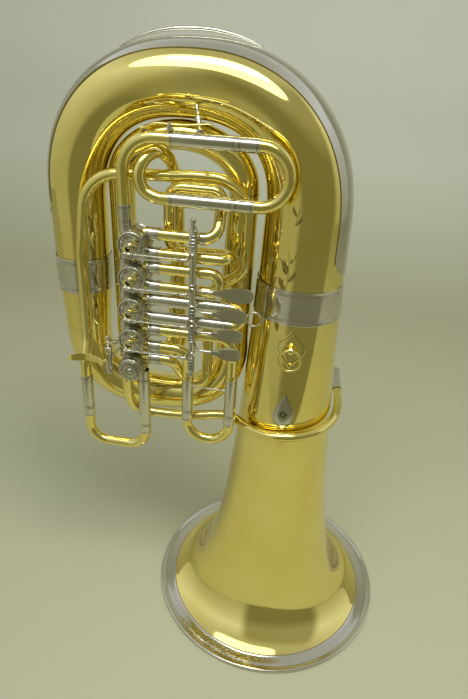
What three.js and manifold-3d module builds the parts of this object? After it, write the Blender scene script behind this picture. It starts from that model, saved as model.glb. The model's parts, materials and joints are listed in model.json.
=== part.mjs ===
// Five-rotor tuba standing on its bell, in millimetres: x across the body, y towards the player, z up.
// While the pieces are being made the bell's axis is x = 0, y = 0; the group is moved sideways at the end
// so that the origin is under the middle of the whole instrument.
import * as THREE from "three";
import { mergeVertices } from "three/addons/utils/BufferGeometryUtils.js";
import Module from "manifold-3d";

const wasm = await Module();
wasm.setup();

// ---- driving dimensions ----
const GAP = 0.3; // clearance between pieces that touch on the real instrument
const STUB = 4; // straight run at each end of a bow, which squares its end face
const WALL = 0.6; // sheet thickness of the large tubes
const RIM_RADIUS = 224; // bell rim
const GARLAND_INNER = 193; // where the nickel garland starts on the bell
const BELL_TOP = 652; // joint between the bell and the big bow
const BELL_OUTLINE = [
  // [height, outer radius] of the bell
  [6.5, 193], [13, 179.5], [27, 161], [50, 143.8], [86, 128], [140, 112.8], [220, 99.5],
  [330, 88.1], [480, 77.4], [BELL_TOP, 67.4],
];
// Bows: the middle of the springing line, half the width, the height, and the tube's radius at each side.
// A power over 2 squares the shoulders of the half ellipse.
const BIG_BOW = {
  x: -178.5, z: 774, across: 179, high: 175, power: 2.3, right: 64.5, middle: 47.5, left: 44.5,
};
const BIG_BOW_FOOT = 655; // both legs of the big bow end here
const BOTTOM_BOW = { x: -230, z: 553, across: 127.5, high: 119, power: 2.5, left: 37.8, right: 27.5 };
const INNER_BOW = { x: -191.5, z: 806, across: 94.5, high: 69.5, left: 20.5, right: 22.5 };
const INNER_BEND = { x: -241.75, z: 551, across: 44.25, high: 44.25, left: 20.4, right: 17.4 };

const BORE_R = 8; // inside of the valve ports
const PORT_R = 9; // outside of the valve ports and of the fixed cylindrical tubing
const LEG_R = 8.6; // sliding legs
const SLEEVE_IN = 9.05;
const SLEEVE_R = 9.9;
const SLIDE_Y = -80; // plane of the valve slides
const VALVE_X = -240.5; // first rotor; each next one sits VALVE_LEAN further left
const VALVE_LEAN = 1.95;
const VALVE_Z = 736;
const VALVE_PITCH = 51.25;
const VALVES = 5;
const PORT_OFFSET = 14.5; // from the rotor's axis to each port's axis
const CASING_R = 21;
const CASING_BORE = 18;
const CASING_FRONT = -97;
const CASING_BACK = -58;
const ROTOR_R = 17.4;

const AXLE_X = -151;
const AXLE_Y = -98;
const AXLE_R = 3;
const ROD_Y = -122; // plane of the linkage rods
const CRANK_R = 5.65;
const CRANK_REST = 25; // degrees left of straight down
const PADDLE_Z = [688, 655.5, 623.5, 593];
const PADDLE_TIP = [-58, -66, -70, -71];

// ---- materials ----
const look = (color, roughness) => () =>
  new THREE.MeshStandardMaterial({ color, roughness, metalness: 1 });
const brass = look(0xd8b25a, 0.16);
const nickel = look(0xc9c4b4, 0.2);
const cork = () => new THREE.MeshStandardMaterial({ color: 0xb98d5c, roughness: 0.9, metalness: 0 });

const tuba = new THREE.Group();

function add(name, geometry, material) {
  const mesh = new THREE.Mesh(geometry, material());
  mesh.name = name;
  tuba.add(mesh);
  return mesh;
}

// ---- helpers ----
const V = (x, y, z) => new THREE.Vector3(x, y, z);
const rad = THREE.MathUtils.degToRad;

// A geometry as a manifold-3d solid.
function solid(geometry) {
  const plain = geometry.index ? geometry.toNonIndexed() : geometry.clone();
  plain.deleteAttribute("normal");
  plain.deleteAttribute("uv");
  const merged = mergeVertices(plain, 1e-3);
  const mesh = new wasm.Mesh({
    numProp: 3,
    vertProperties: new Float32Array(merged.attributes.position.array),
    triVerts: new Uint32Array(merged.index.array),
  });
  return new wasm.Manifold(mesh);
}

// The reverse: a solid as a flat-shaded geometry.
function geometryOf(manifold) {
  const mesh = manifold.getMesh();
  const geometry = new THREE.BufferGeometry();
  const corners = new Float32Array(mesh.numVert * 3);
  for (let i = 0; i < mesh.numVert; i++) {
    corners.set(mesh.vertProperties.subarray(i * mesh.numProp, i * mesh.numProp + 3), i * 3);
  }
  geometry.setAttribute("position", new THREE.BufferAttribute(corners, 3));
  geometry.setIndex(new THREE.BufferAttribute(new Uint32Array(mesh.triVerts), 1));
  const flat = geometry.toNonIndexed();
  flat.computeVertexNormals();
  return flat;
}

const join = (...pieces) =>
  geometryOf(pieces.map(solid).reduce((sum, piece) => sum.add(piece)));

function cut(body, ...tools) {
  return geometryOf(tools.map(solid).reduce((rest, tool) => rest.subtract(tool), solid(body)));
}

// Rings along a centreline: position, sideways vector and upward vector of each.
function rings(points, startNormal) {
  const legs = points.slice(1).map((p, i) => p.clone().sub(points[i]).normalize());
  const tangents = points.map((_, i) => {
    const before = legs[Math.max(i - 1, 0)];
    const after = legs[Math.min(i, legs.length - 1)];
    return before.clone().add(after).normalize();
  });
  const guess = startNormal ?? (Math.abs(tangents[0].y) < 0.9 ? V(0, 1, 0) : V(1, 0, 0));
  let side = guess.clone().addScaledVector(tangents[0], -guess.dot(tangents[0])).normalize();
  return points.map((position, i) => {
    if (i > 0) {
      const turn = new THREE.Quaternion().setFromUnitVectors(tangents[i - 1], tangents[i]);
      side = side.clone().applyQuaternion(turn).normalize();
    }
    return { position, side, up: tangents[i].clone().cross(side).normalize() };
  });
}

// Extrudes a flat outline straight, one step per ring, then lays each layer where place() says.
function sweep(shape, frames, place) {
  const layers = frames.length - 1;
  const geometry = new THREE.ExtrudeGeometry(shape, {
    depth: 1,
    steps: layers,
    bevelEnabled: false,
    curveSegments: 1,
  });
  const position = geometry.attributes.position;
  for (let i = 0; i < position.count; i++) {
    const layer = Math.round(position.getZ(i) * layers);
    const [side, up] = place(position.getX(i), position.getY(i), layer);
    const ring = frames[layer];
    const point = ring.position.clone().addScaledVector(ring.side, side).addScaledVector(ring.up, up);
    position.setXYZ(i, point.x, point.y, point.z);
  }
  geometry.deleteAttribute("normal");
  geometry.deleteAttribute("uv");
  return geometry;
}

function regularPolygon(sides, radius) {
  return Array.from({ length: sides }, (_, k) => {
    const angle = (2 * Math.PI * (k + 0.5)) / sides;
    return new THREE.Vector2(radius * Math.cos(angle), radius * Math.sin(angle));
  });
}

// A hollow tube with open ends; radius and wall may be numbers or functions of the share of its length.
function tube(points, radius, wall = 0.8, sides = 12) {
  const frames = rings(points);
  const radiusAt = typeof radius === "function" ? radius : () => radius;
  const ring = new THREE.Shape(regularPolygon(sides, 1));
  ring.holes.push(new THREE.Path(regularPolygon(sides, 0.5)));
  return sweep(ring, frames, (x, y, layer) => {
    const outer = radiusAt(layer / (points.length - 1));
    const length = Math.hypot(x, y);
    const scale = (length > 0.75 ? outer : outer - wall) / length;
    return [x * scale, y * scale];
  });
}

// A solid round bar along points.
function bar(points, radius, sides = 10) {
  const shape = new THREE.Shape(regularPolygon(sides, 1));
  const radiusAt = typeof radius === "function" ? radius : () => radius;
  return sweep(shape, rings(points), (x, y, layer) => {
    const r = radiusAt(layer / (points.length - 1));
    return [x * r, y * r];
  });
}

// A route through corners, each rounded with its own bend radius and split into steps per corner.
function route(corners, bend, steps = 3) {
  const points = [corners[0].clone()];
  for (let i = 1; i < corners.length - 1; i++) {
    const corner = corners[i];
    const back = corners[i - 1].clone().sub(corner).normalize();
    const on = corners[i + 1].clone().sub(corner).normalize();
    const half = (Math.PI - back.angleTo(on)) / 2;
    const reach = (Array.isArray(bend) ? bend[i - 1] : bend) * Math.tan(half);
    const start = corner.clone().addScaledVector(back, reach);
    const end = corner.clone().addScaledVector(on, reach);
    const handle = 0.5523 * reach;
    const curve = new THREE.CubicBezierCurve3(
      start,
      start.clone().addScaledVector(back, -handle),
      end.clone().addScaledVector(on, -handle),
      end,
    );
    for (let k = 0; k <= steps; k++) {
      const p = curve.getPoint(k / steps);
      if (p.distanceTo(points[points.length - 1]) > 0.5) {
        points.push(p);
      }
    }
  }
  const last = corners[corners.length - 1];
  if (last.distanceTo(points[points.length - 1]) > 0.5) {
    points.push(last.clone());
  }
  return points;
}

// A smooth route through given points.
const smooth = (corners, steps) =>
  new THREE.CatmullRomCurve3(corners, false, "centripetal").getSpacedPoints(steps);

// Part of an ellipse in the body plane, from angle a to angle b in degrees.
function arc({ x, z, across, high, power = 2 }, a, b, steps) {
  const bend = (share) => Math.sign(share) * Math.abs(share) ** (2 / power);
  return Array.from({ length: steps + 1 }, (_, k) => {
    const angle = rad(a + ((b - a) * k) / steps);
    return V(x + across * bend(Math.cos(angle)), 0, z + high * bend(Math.sin(angle)));
  });
}

const between = (a, b) => (share) => a + (b - a) * share;

// Turned pieces. The profile is [radius, along] and closes on itself; the axis is z unless turned.
function turned(profile, sides) {
  let area = 0;
  profile.forEach(([r, h], i) => {
    const [r2, h2] = profile[(i + 1) % profile.length];
    area += r * h2 - r2 * h;
  });
  const outline = area > 0 ? profile : [...profile].reverse();
  const closed = [...outline, outline[0]].map(([r, h]) => new THREE.Vector2(r, h));
  return new THREE.LatheGeometry(closed, sides).rotateX(Math.PI / 2);
}

// Turned about an axis along y; the profile's second number is y itself.
const turnedY = (profile, sides, x, z) =>
  turned(profile.map(([r, y]) => [r, -y]), sides).rotateX(Math.PI / 2).translate(x, 0, z);

const tubeProfile = (inner, outer, from, to) => [[inner, from], [outer, from], [outer, to], [inner, to]];
const diskProfile = (r, from, to) => [[0, from], [r, from], [r, to], [0, to]];
const rod = (a, b, radius, sides = 10) => bar([a, b], radius, sides);
const block = (x, y, z, cx, cy, cz) => new THREE.BoxGeometry(x, y, z).translate(cx, cy, cz);
const ball = (r, at) => new THREE.SphereGeometry(r, 8, 6).translate(at.x, at.y, at.z);

// ---- bell and big bow ----
const bellInside = BELL_OUTLINE.map(([z, r], i) => {
  const [z0, r0] = BELL_OUTLINE[Math.max(i - 1, 0)];
  const [z1, r1] = BELL_OUTLINE[Math.min(i + 1, BELL_OUTLINE.length - 1)];
  const length = Math.hypot(z1 - z0, r1 - r0);
  return [r - (WALL * (z1 - z0)) / length, z + (WALL * (r1 - r0)) / length];
});
const bellOutside = BELL_OUTLINE.map(([z, r]) => [r, z]);
add("bell", turned([...bellOutside, ...bellInside.reverse()], 32), brass);

const garland = [
  [GARLAND_INNER + GAP, 5.4], [GARLAND_INNER + GAP, 6.4], [214, 3.6], [219, 6.4],
  [RIM_RADIUS, 4.4], [RIM_RADIUS, 1.8], [221.5, 0], [216, 0],
];
add("bell_garland", turned(garland, 32), nickel);

const RIGHT_X = BIG_BOW.x + BIG_BOW.across;
const LEFT_X = BIG_BOW.x - BIG_BOW.across;
const BOW_STEPS = 12;
const bowArch = arc(BIG_BOW, 0, 180, BOW_STEPS);
const bowPoints = [V(RIGHT_X, 0, BIG_BOW_FOOT), ...bowArch, V(LEFT_X, 0, BIG_BOW_FOOT)];

// The big bow's outer radius at a share of its arch, which goes from the bell side to the left side.
function archRadius(share) {
  const { right, middle, left } = BIG_BOW;
  return right * (1 - share) ** 2 + 2 * middle * share * (1 - share) + left * share ** 2;
}
const bowRadius = (share) => {
  if (share === 0) {
    return BIG_BOW.right + 2.7;
  }
  if (share === 1) {
    return BIG_BOW.left - 1.2;
  }
  return archRadius((share * (BOW_STEPS + 2) - 1) / BOW_STEPS);
};
add("big_bow", tube(bowPoints, bowRadius, WALL, 16), brass);
add("bell_ferrule", turned([[69.5, 626], [70.7, 626], [68.8, 680], [67.6, 680]], 32), nickel);
add("left_ferrule", turned([[43.1, 624], [44.2, 624], [46.1, 682], [45, 682]], 24)
  .translate(LEFT_X, 0, 0), nickel);
add("left_branch", tube([
  V(LEFT_X, 0, BIG_BOW_FOOT - GAP),
  V(BOTTOM_BOW.x - BOTTOM_BOW.across, 0, BOTTOM_BOW.z + STUB + GAP),
], between(43.2, BOTTOM_BOW.left + 0.2), WALL, 17), brass);

// The guard strip follows the outside of the arch and runs on down the legs. Its section is laid out
// as [share of its half width, inner or outer face].
const GUARD_RIGHT_END = 694;
const GUARD_LEFT_END = 742;
const guardTips = [ // how far from the end, share of the full width, clearance from the tube
  { back: 0, width: 0.4, lift: 3.4 },
  { back: 8, width: 0.75, lift: 3 },
  { back: 22, width: 0.95, lift: 2.5 },
];
const guardPoints = [
  ...guardTips.map(({ back }) => V(RIGHT_X, 0, GUARD_RIGHT_END + back)),
  ...bowArch,
  ...guardTips.map(({ back }) => V(LEFT_X, 0, GUARD_LEFT_END + back)).reverse(),
];
const guardSteps = [0, 1, 2, 3, 4, 5, 6];
const guardShape = new THREE.Shape([
  ...guardSteps.map((k) => new THREE.Vector2(-1 + k / 3, 0)),
  ...guardSteps.map((k) => new THREE.Vector2(1 - k / 3, 1)),
]);
add("bow_guard_strip", sweep(guardShape, rings(guardPoints, V(0, 1, 0)), (across, face, layer) => {
  const share = THREE.MathUtils.clamp((layer - guardTips.length) / BOW_STEPS, 0, 1);
  const tip = guardTips[Math.min(layer, guardPoints.length - 1 - layer)] ?? { width: 1, lift: 1.3 };
  const angle = rad(44 * tip.width) * across;
  const r = archRadius(share) + tip.lift + (face > 0.5 ? 1.2 : 0);
  return [-r * Math.sin(angle), -r * Math.cos(angle)];
}), nickel);

// The guard rail: a slim bar that stands off the strip in the middle and meets it at both ends.
const RAIL_FROM = 69;
const RAIL_TO = 113;
const RAIL_STEPS = 8;
const rail = arc(BIG_BOW, RAIL_FROM, RAIL_TO, RAIL_STEPS).map((point, k) => {
  const angle = rad(RAIL_FROM + ((RAIL_TO - RAIL_FROM) * k) / RAIL_STEPS);
  const lift = archRadius(angle / Math.PI) + 4 + 5 * Math.sin((Math.PI * k) / RAIL_STEPS);
  const outward = V(Math.cos(angle), 0, Math.sin(angle)).normalize();
  return point.addScaledVector(outward, lift);
});
add("bow_guard_rail", bar(rail, (share) => 0.8 + 2.2 * Math.sin(Math.PI * share) ** 0.5, 8), nickel);

// ---- bottom bow and inner branches ----
// A bow with a short straight run at each end, on the side the arc leaves from.
function bow(shape, from, to, steps) {
  const step = V(0, 0, from === 0 ? -STUB : STUB);
  const points = arc(shape, from, to, steps);
  return [points[0].clone().add(step), ...points, points[points.length - 1].clone().add(step)];
}
add("bottom_bow", tube(bow(BOTTOM_BOW, 180, 360, 12),
  between(BOTTOM_BOW.left, BOTTOM_BOW.right), WALL, 12), brass);
add("inner_right_branch", tube([
  V(BOTTOM_BOW.x + BOTTOM_BOW.across, 0, BOTTOM_BOW.z + STUB + 2.5 * GAP),
  V(INNER_BOW.x + INNER_BOW.across, 0, INNER_BOW.z - STUB - 2.5 * GAP),
], between(27.2, 22.6), WALL, 14), brass);
add("inner_top_bow", tube(bow(INNER_BOW, 0, 180, 8),
  between(INNER_BOW.right, INNER_BOW.left), WALL, 12), brass);
add("inner_left_branch", tube([
  V(INNER_BOW.x - INNER_BOW.across, 0, INNER_BOW.z - STUB - GAP),
  ...bow(INNER_BEND, 180, 360, 6),
], between(INNER_BEND.left, INNER_BEND.right), WALL, 12), brass);
const NECK_X = INNER_BEND.x + INNER_BEND.across;
add("slide_neck", tube([
  V(NECK_X, 0, INNER_BEND.z + STUB + GAP),
  V(NECK_X, 0, 660),
  ...smooth([
    V(NECK_X, 0, 770), V(NECK_X, -4, 796), V(NECK_X, -19, 822), V(-201, -39, 847), V(-212, -57, 859),
    V(-226, -73, 851), V(-232, -82, 830), V(-225, -82, 811), V(-207, -82, 802.5), V(-194, -82, 802),
  ], 14),
  V(-188.6, SLIDE_Y - 2, 802),
], (share) => 9 + 8 * (1 - Math.min(share * 2.2, 1)), 0.7, 10), brass);

// ---- main tuning slide ----
const MAIN_Y = SLIDE_Y - 2;
const MAIN_TOP = 880.5;
const MAIN_LOW = 802;
const INLET_X = VALVE_X - PORT_OFFSET;
const INLET_FOOT = VALVE_Z + VALVE_PITCH / 2;
add("slide_inlet_tube", tube(route([
  V(INLET_X, SLIDE_Y, INLET_FOOT + GAP),
  V(INLET_X - 0.5, MAIN_Y, MAIN_TOP),
  V(-187.5, MAIN_Y, MAIN_TOP),
], 46, 5), PORT_R, 0.9, 10), brass);
const sleeve = (a, b) => tube([a, a.clone().lerp(b, 0.43), b], SLEEVE_R, SLEEVE_R - SLEEVE_IN, 11);
add("upper_slide_sleeve", join(
  sleeve(V(-187, MAIN_Y, MAIN_TOP), V(-99, MAIN_Y, MAIN_TOP)),
  block(13, 5, 3, -150, MAIN_Y + 8.4, MAIN_TOP + 8.5),
  rod(V(-150, MAIN_Y + 8.4, MAIN_TOP + 6.5), V(-161.5, -45.3, 920.3), 2.2, 8),
), nickel);
add("lower_slide_sleeve", sleeve(V(-188, MAIN_Y, MAIN_LOW), V(-100, MAIN_Y, MAIN_LOW)), nickel);
add("main_tuning_slide", tube(route([V(-170, MAIN_Y, MAIN_TOP), V(-27, MAIN_Y, MAIN_TOP),
  V(-27, MAIN_Y, MAIN_LOW), V(-171, MAIN_Y, MAIN_LOW)], 38.9, 4), LEG_R, 0.8, 10), brass);

// Water key on the inlet bend.
const KEY_Z = MAIN_TOP + 15.5;
const KEY_X = -188;
add("water_key_saddle", join(
  block(9, 14, 1.6, KEY_X, MAIN_Y, MAIN_TOP + 11),
  block(5, 2, 9, KEY_X, MAIN_Y - 5, MAIN_TOP + 15.5),
  block(5, 2, 9, KEY_X, MAIN_Y + 5, MAIN_TOP + 15.5),
  rod(V(KEY_X, MAIN_Y - 6, KEY_Z + 1.6), V(KEY_X, MAIN_Y + 6, KEY_Z + 1.6), 1.1, 8),
), nickel);
const keyShape = new THREE.Shape([
  new THREE.Vector2(-40, -4.6), new THREE.Vector2(-32, -4.6), new THREE.Vector2(-20, 0),
  new THREE.Vector2(20, 1), new THREE.Vector2(54, 5), new THREE.Vector2(54, 7),
  new THREE.Vector2(20, 4), new THREE.Vector2(-22, 3.4), new THREE.Vector2(-33, -2.6),
  new THREE.Vector2(-40, -2.6),
]);
add("water_key_lever", join(
  cut(
    new THREE.ExtrudeGeometry(keyShape, { depth: 6, bevelEnabled: false })
      .rotateX(Math.PI / 2).translate(KEY_X, MAIN_Y + 3, KEY_Z),
    rod(V(KEY_X, MAIN_Y - 9, KEY_Z + 1.6), V(KEY_X, MAIN_Y + 9, KEY_Z + 1.6), 1.35, 8),
  ),
  turned(diskProfile(5, KEY_Z - 7.6, KEY_Z - 3.4), 12).translate(KEY_X - 36, MAIN_Y, 0),
), brass);

// ---- valves ----
const valveX = (i) => VALVE_X - VALVE_LEAN * i;
const valveZ = (i) => VALVE_Z - VALVE_PITCH * i;
const SLEEVE_END = [-204, -204, -104, -204, -204]; // where each valve's right-hand sleeves stop
const onLine = (x, z, y = SLIDE_Y) => V(x, y, z);

// A casing: a cup open at the front, with straight ports on the left and sleeves on the right.
function valveCasing(i) {
  const x = valveX(i);
  const z = valveZ(i);
  const top = z + VALVE_PITCH / 2 - GAP;
  const foot = z - VALVE_PITCH / 2 + GAP;
  const outside = [
    turnedY(diskProfile(CASING_R, CASING_BACK, CASING_FRONT), 16, x, z),
    rod(onLine(x - PORT_OFFSET, foot), onLine(x - PORT_OFFSET, top), PORT_R, 8),
  ];
  const inside = [
    turnedY(diskProfile(CASING_BORE, CASING_BACK - 3, CASING_FRONT - 1), 16, x, z),
    turnedY(diskProfile(4.4, CASING_BACK + 1, CASING_BACK - 4), 8, x, z),
    rod(onLine(x - PORT_OFFSET, foot - 1), onLine(x - PORT_OFFSET, top + 1), BORE_R, 8),
  ];
  const rows = i === VALVES - 1 ? [PORT_OFFSET] : [PORT_OFFSET, -PORT_OFFSET];
  for (const row of rows) {
    outside.push(rod(onLine(x + 8, z + row), onLine(-223, z + row), PORT_R, 8));
    outside.push(rod(onLine(-223, z + row), onLine(SLEEVE_END[i], z + row), SLEEVE_R));
    inside.push(rod(onLine(x + 8, z + row), onLine(-221, z + row), BORE_R, 8));
    inside.push(rod(onLine(-222, z + row), onLine(SLEEVE_END[i] + 1, z + row), SLEEVE_IN));
  }
  if (i === VALVES - 1) {
    outside.push(rod(onLine(x + PORT_OFFSET, z - 8), onLine(x + PORT_OFFSET, z - 28), PORT_R));
    inside.push(rod(onLine(x + PORT_OFFSET, z - 8), onLine(x + PORT_OFFSET, z - 29), BORE_R));
  }
  return cut(join(...outside), join(...inside));
}

// A rotor with its two passages, its spindle and the crank that the rod drives.
function valveRotor(i) {
  const x = valveX(i);
  const z = valveZ(i);
  const back = CASING_BACK - 3 - GAP;
  const front = CASING_FRONT + GAP;
  const fifth = i === VALVES - 1;
  const passage = (side) =>
    rod(V(x + side * 17.5, SLIDE_Y, z - 30), V(x + side * 17.5, SLIDE_Y, z + 30), BORE_R + 2, 8);
  const body = cut(turnedY(diskProfile(ROTOR_R, back, front), 16, x, z), passage(-1), passage(1));
  const angle = rad(CRANK_REST);
  const pin = { x: x - CRANK_R * Math.sin(angle), z: z - CRANK_R * Math.cos(angle) * (fifth ? -1 : 1) };
  const tip = fifth ? CASING_BACK + 7 : ROD_Y + 7.5;
  const root = fifth ? back - 2 : front + 2;
  const step = fifth ? -3 : 3;
  const spindle = turnedY(diskProfile(3.8, root, tip), 8, x, z);
  const crank = new THREE.CylinderGeometry(7, 7, 3, 12);
  crank.translate((pin.x + x) / 2, tip + step / 2, (pin.z + z) / 2);
  const stud = turnedY(diskProfile(2, tip + step * 0.5, tip - step * 1.2), 8, pin.x, pin.z);
  return join(body, spindle, crank, stud);
}

for (let i = 0; i < VALVES; i++) {
  add(`valve_casing_${i + 1}`, valveCasing(i), nickel);
  add(`rotor_${i + 1}`, valveRotor(i), brass);
  const fifth = i === VALVES - 1;
  const face = CASING_FRONT - GAP;
  const profile = fifth
    ? [[0, face], [20.5, face], [20.5, face - 8], [18.5, face - 9.5], [6, face - 9.5], [4, face - 12],
      [0, face - 13]]
    : [[4.4, face], [20.5, face], [20.5, face - 4], [18.5, face - 5.5], [4.4, face - 5.5]];
  const cap = fifth ? "knurled_cap_5" : `valve_cap_${i + 1}`;
  add(cap, turnedY(profile, 16, valveX(i), valveZ(i)), nickel);
}

// ---- valve tubing ----
const V1 = valveZ(0);
const SLIDE_START = -221.5;
add("first_valve_loop", tube(route([
  onLine(SLIDE_START, V1 + PORT_OFFSET), V(-120, SLIDE_Y, V1 + PORT_OFFSET), V(-121, -54, 790),
  V(-121, -54, 813), V(-197, -54, 813), V(-197, -54, V1 - PORT_OFFSET - 2), V(-104, -54, V1 - PORT_OFFSET),
  V(-104, SLIDE_Y, V1 - PORT_OFFSET), onLine(SLIDE_START, V1 - PORT_OFFSET),
], [20, 9, 14, 20, 20, 12.9, 12.9], 2), LEG_R, 0.8, 10), brass);

function valveSlide(i, from, to) {
  const z = valveZ(i);
  return tube(route([onLine(from, z + PORT_OFFSET), onLine(to, z + PORT_OFFSET), onLine(to, z - PORT_OFFSET),
    onLine(from, z - PORT_OFFSET)], PORT_OFFSET - 0.05, 3), LEG_R, 0.8, 10);
}
add("second_valve_slide", valveSlide(1, SLIDE_START, -115), brass);
add("third_valve_slide", valveSlide(2, -165, -79), brass);

// Fourth valve: two fixed tubes turn down into sleeves that a brace joins.
const FOUR_Y = -74;
const FOUR_LEFT = -161.5;
const FOUR_RIGHT = -89.5;
const V4 = valveZ(3);
const fourthFixed = (x, z, sleeveTop, sleeveEnd) => [
  tube(route([onLine(SLIDE_START, z), V(x, SLIDE_Y, z), V(x, FOUR_Y, z - 40), V(x, FOUR_Y, sleeveTop - 6)],
    [22, 20], 2), LEG_R, 0.8, 10),
  tube([V(x, FOUR_Y, sleeveTop), V(x, FOUR_Y, sleeveTop - 8)], SLEEVE_R, SLEEVE_R - LEG_R + 0.5, 10),
  tube([V(x, FOUR_Y, sleeveTop - 7), V(x, FOUR_Y, sleeveEnd)], SLEEVE_R, SLEEVE_R - SLEEVE_IN, 10),
];
add("fourth_valve_tubes", join(
  ...fourthFixed(FOUR_RIGHT, V4 + PORT_OFFSET, 529, 450),
  ...fourthFixed(FOUR_LEFT, V4 - PORT_OFFSET, 519, 450),
  rod(V(FOUR_LEFT + 9.4, FOUR_Y, 497), V(FOUR_RIGHT - 9.4, FOUR_Y, 497), 2, 8),
), brass);
add("fourth_valve_slide", tube(route([V(FOUR_LEFT, FOUR_Y, 500), V(FOUR_LEFT, FOUR_Y, 395),
  V(FOUR_RIGHT, FOUR_Y, 395), V(FOUR_RIGHT, FOUR_Y, 500)], 34, 4), LEG_R, 0.8, 10), brass);

// Fifth valve: a long loop behind the slides, ending in the outer sleeve of the lower left slide.
const FIVE_Y = SLIDE_Y;
const FIVE_LEFT = -334;
const FIVE_RIGHT = valveX(4) + PORT_OFFSET;
const V5 = valveZ(4);
add("fifth_valve_loop", join(
  tube(route([
    onLine(SLIDE_START, V5 + PORT_OFFSET), V(-186, SLIDE_Y, V5 + PORT_OFFSET), V(-166, -46, 487),
    V(-136, -43, 489), V(-137, -36, 655), V(-84, -33, 690), V(-85, -33, 826), V(-168, -37, 826),
    V(-204, -49, 826), V(-322, -52, 822), V(-338, -53, 700), V(-337, -56, 556), V(FIVE_LEFT, FIVE_Y, 519),
    V(FIVE_LEFT, FIVE_Y, 489),
  ], [13, 15, 15, 30, 30, 55, 40, 40, 58, 60, 40, 24], 2), LEG_R, 0.8, 10),
  tube([V(FIVE_LEFT, FIVE_Y, 496), V(FIVE_LEFT, FIVE_Y, 487)], SLEEVE_R, SLEEVE_R - LEG_R + 0.5, 10),
  tube([V(FIVE_LEFT, FIVE_Y, 488), V(FIVE_LEFT, FIVE_Y, 434)], SLEEVE_R, SLEEVE_R - SLEEVE_IN, 10),
), brass);
add("fifth_slide_sleeve", sleeve(V(FIVE_RIGHT, FIVE_Y, V5 - 28.3), V(FIVE_RIGHT, FIVE_Y, 413)), nickel);
add("fifth_valve_slide", tube(route([V(FIVE_LEFT, FIVE_Y, 484), V(FIVE_LEFT, FIVE_Y, 364),
  V(FIVE_RIGHT, FIVE_Y, 364), V(FIVE_RIGHT, FIVE_Y, 470)], 32, 4), LEG_R, 0.8, 10), brass);

// ---- leadpipe ----
const LEAD_X = valveX(4) - PORT_OFFSET;
add("leadpipe", tube([
  V(LEAD_X, SLIDE_Y, V5 - VALVE_PITCH / 2 - GAP),
  ...smooth([V(LEAD_X + 0.3, SLIDE_Y, 488), V(LEAD_X + 1, -77, 462), V(-255, -68, 438), V(-236, -59, 425),
    V(-205, -56, 422), V(-150, -54, 426), V(-112, -49, 430), V(-90, -50, 431), V(-72, -59, 428.5),
    V(-50, -75, 429), V(-20, -90, 432), V(18, -91, 436), V(58, -72, 439), V(83, -38, 444),
    V(91, 0, 450), V(89, 40, 456)], 22),
], (share) => 8.6 - 1.5 * share, 0.9, 10), brass);
add("mouthpiece_receiver", tube([V(89, 41, 456.2), V(86.5, 62, 459), V(83.5, 96, 463.5)],
  (share) => 8.6 + 0.8 * share, 2.2, 12), nickel);

// ---- paddles, rods and thumb lever ----
add("paddle_axle", join(
  rod(V(AXLE_X, AXLE_Y, 536), V(AXLE_X, AXLE_Y, 777), AXLE_R, 10),
  ...[[762, 8], [557.5, 6]].map(([z, high]) =>
    block(9, 9, high, AXLE_X, AXLE_Y + 3.2, z + 5)),
  ball(4.6, V(AXLE_X, AXLE_Y, 779)),
  ball(4.4, V(AXLE_X, AXLE_Y, 534)),
), nickel);

const paddleOutline = (length) => {
  const shape = new THREE.Shape();
  shape.moveTo(0, -2.6);
  shape.bezierCurveTo(length * 0.3, -3, length * 0.4, -10.6, length * 0.72, -11);
  shape.bezierCurveTo(length * 0.95, -11, length, -6, length, 0);
  shape.bezierCurveTo(length, 6, length * 0.95, 11, length * 0.72, 11);
  shape.bezierCurveTo(length * 0.4, 10.6, length * 0.3, 3, 0, 2.6);
  shape.closePath();
  return shape;
};
const PAD_START = -122;
const PAD_Y = -122;

// A paddle: hub on the axle, curved arm, spoon plate and the short arm that carries the rod's ball.
function paddle(i) {
  const z = PADDLE_Z[i];
  const rodZ = valveZ(i) - CRANK_R * Math.cos(rad(CRANK_REST));
  const low = Math.min(z, rodZ) - 3.5;
  const high = Math.max(z, rodZ) + 3.2;
  const hub = turned(tubeProfile(AXLE_R + 0.25, 6, low, high), 12).translate(AXLE_X, AXLE_Y, 0);
  const arm = bar(route([
    V(AXLE_X + 4.5, AXLE_Y - 1, z),
    V(AXLE_X + 13, PAD_Y, z),
    V(PAD_START + 4, PAD_Y, z),
  ], 12, 3), 2.4, 6);
  const plate = new THREE.ExtrudeGeometry(paddleOutline(PADDLE_TIP[i] - PAD_START),
    { depth: 1.8, bevelEnabled: false, curveSegments: 3 })
    .rotateX(Math.PI / 2).translate(PAD_START, PAD_Y + 0.9, z);
  const lever = rod(V(AXLE_X - 1, AXLE_Y - 4.5, rodZ), V(AXLE_X - 3.8, ROD_Y + 3.4, rodZ), 2.4, 6);
  return join(hub, arm, plate, lever);
}
const ROD_LEFT = (i) => valveX(i) - CRANK_R * Math.sin(rad(CRANK_REST));
function linkageRod(i) {
  const z = valveZ(i) - CRANK_R * Math.cos(rad(CRANK_REST));
  const left = V(ROD_LEFT(i), ROD_Y, z);
  const right = V(AXLE_X - 3.8, ROD_Y, z);
  return join(rod(left, right, 1.5, 6), ball(3.1, left), ball(3.1, right));
}
for (let i = 0; i < 4; i++) {
  add(`paddle_${i + 1}`, paddle(i), nickel);
  add(`linkage_rod_${i + 1}`, linkageRod(i), nickel);
}

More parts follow.
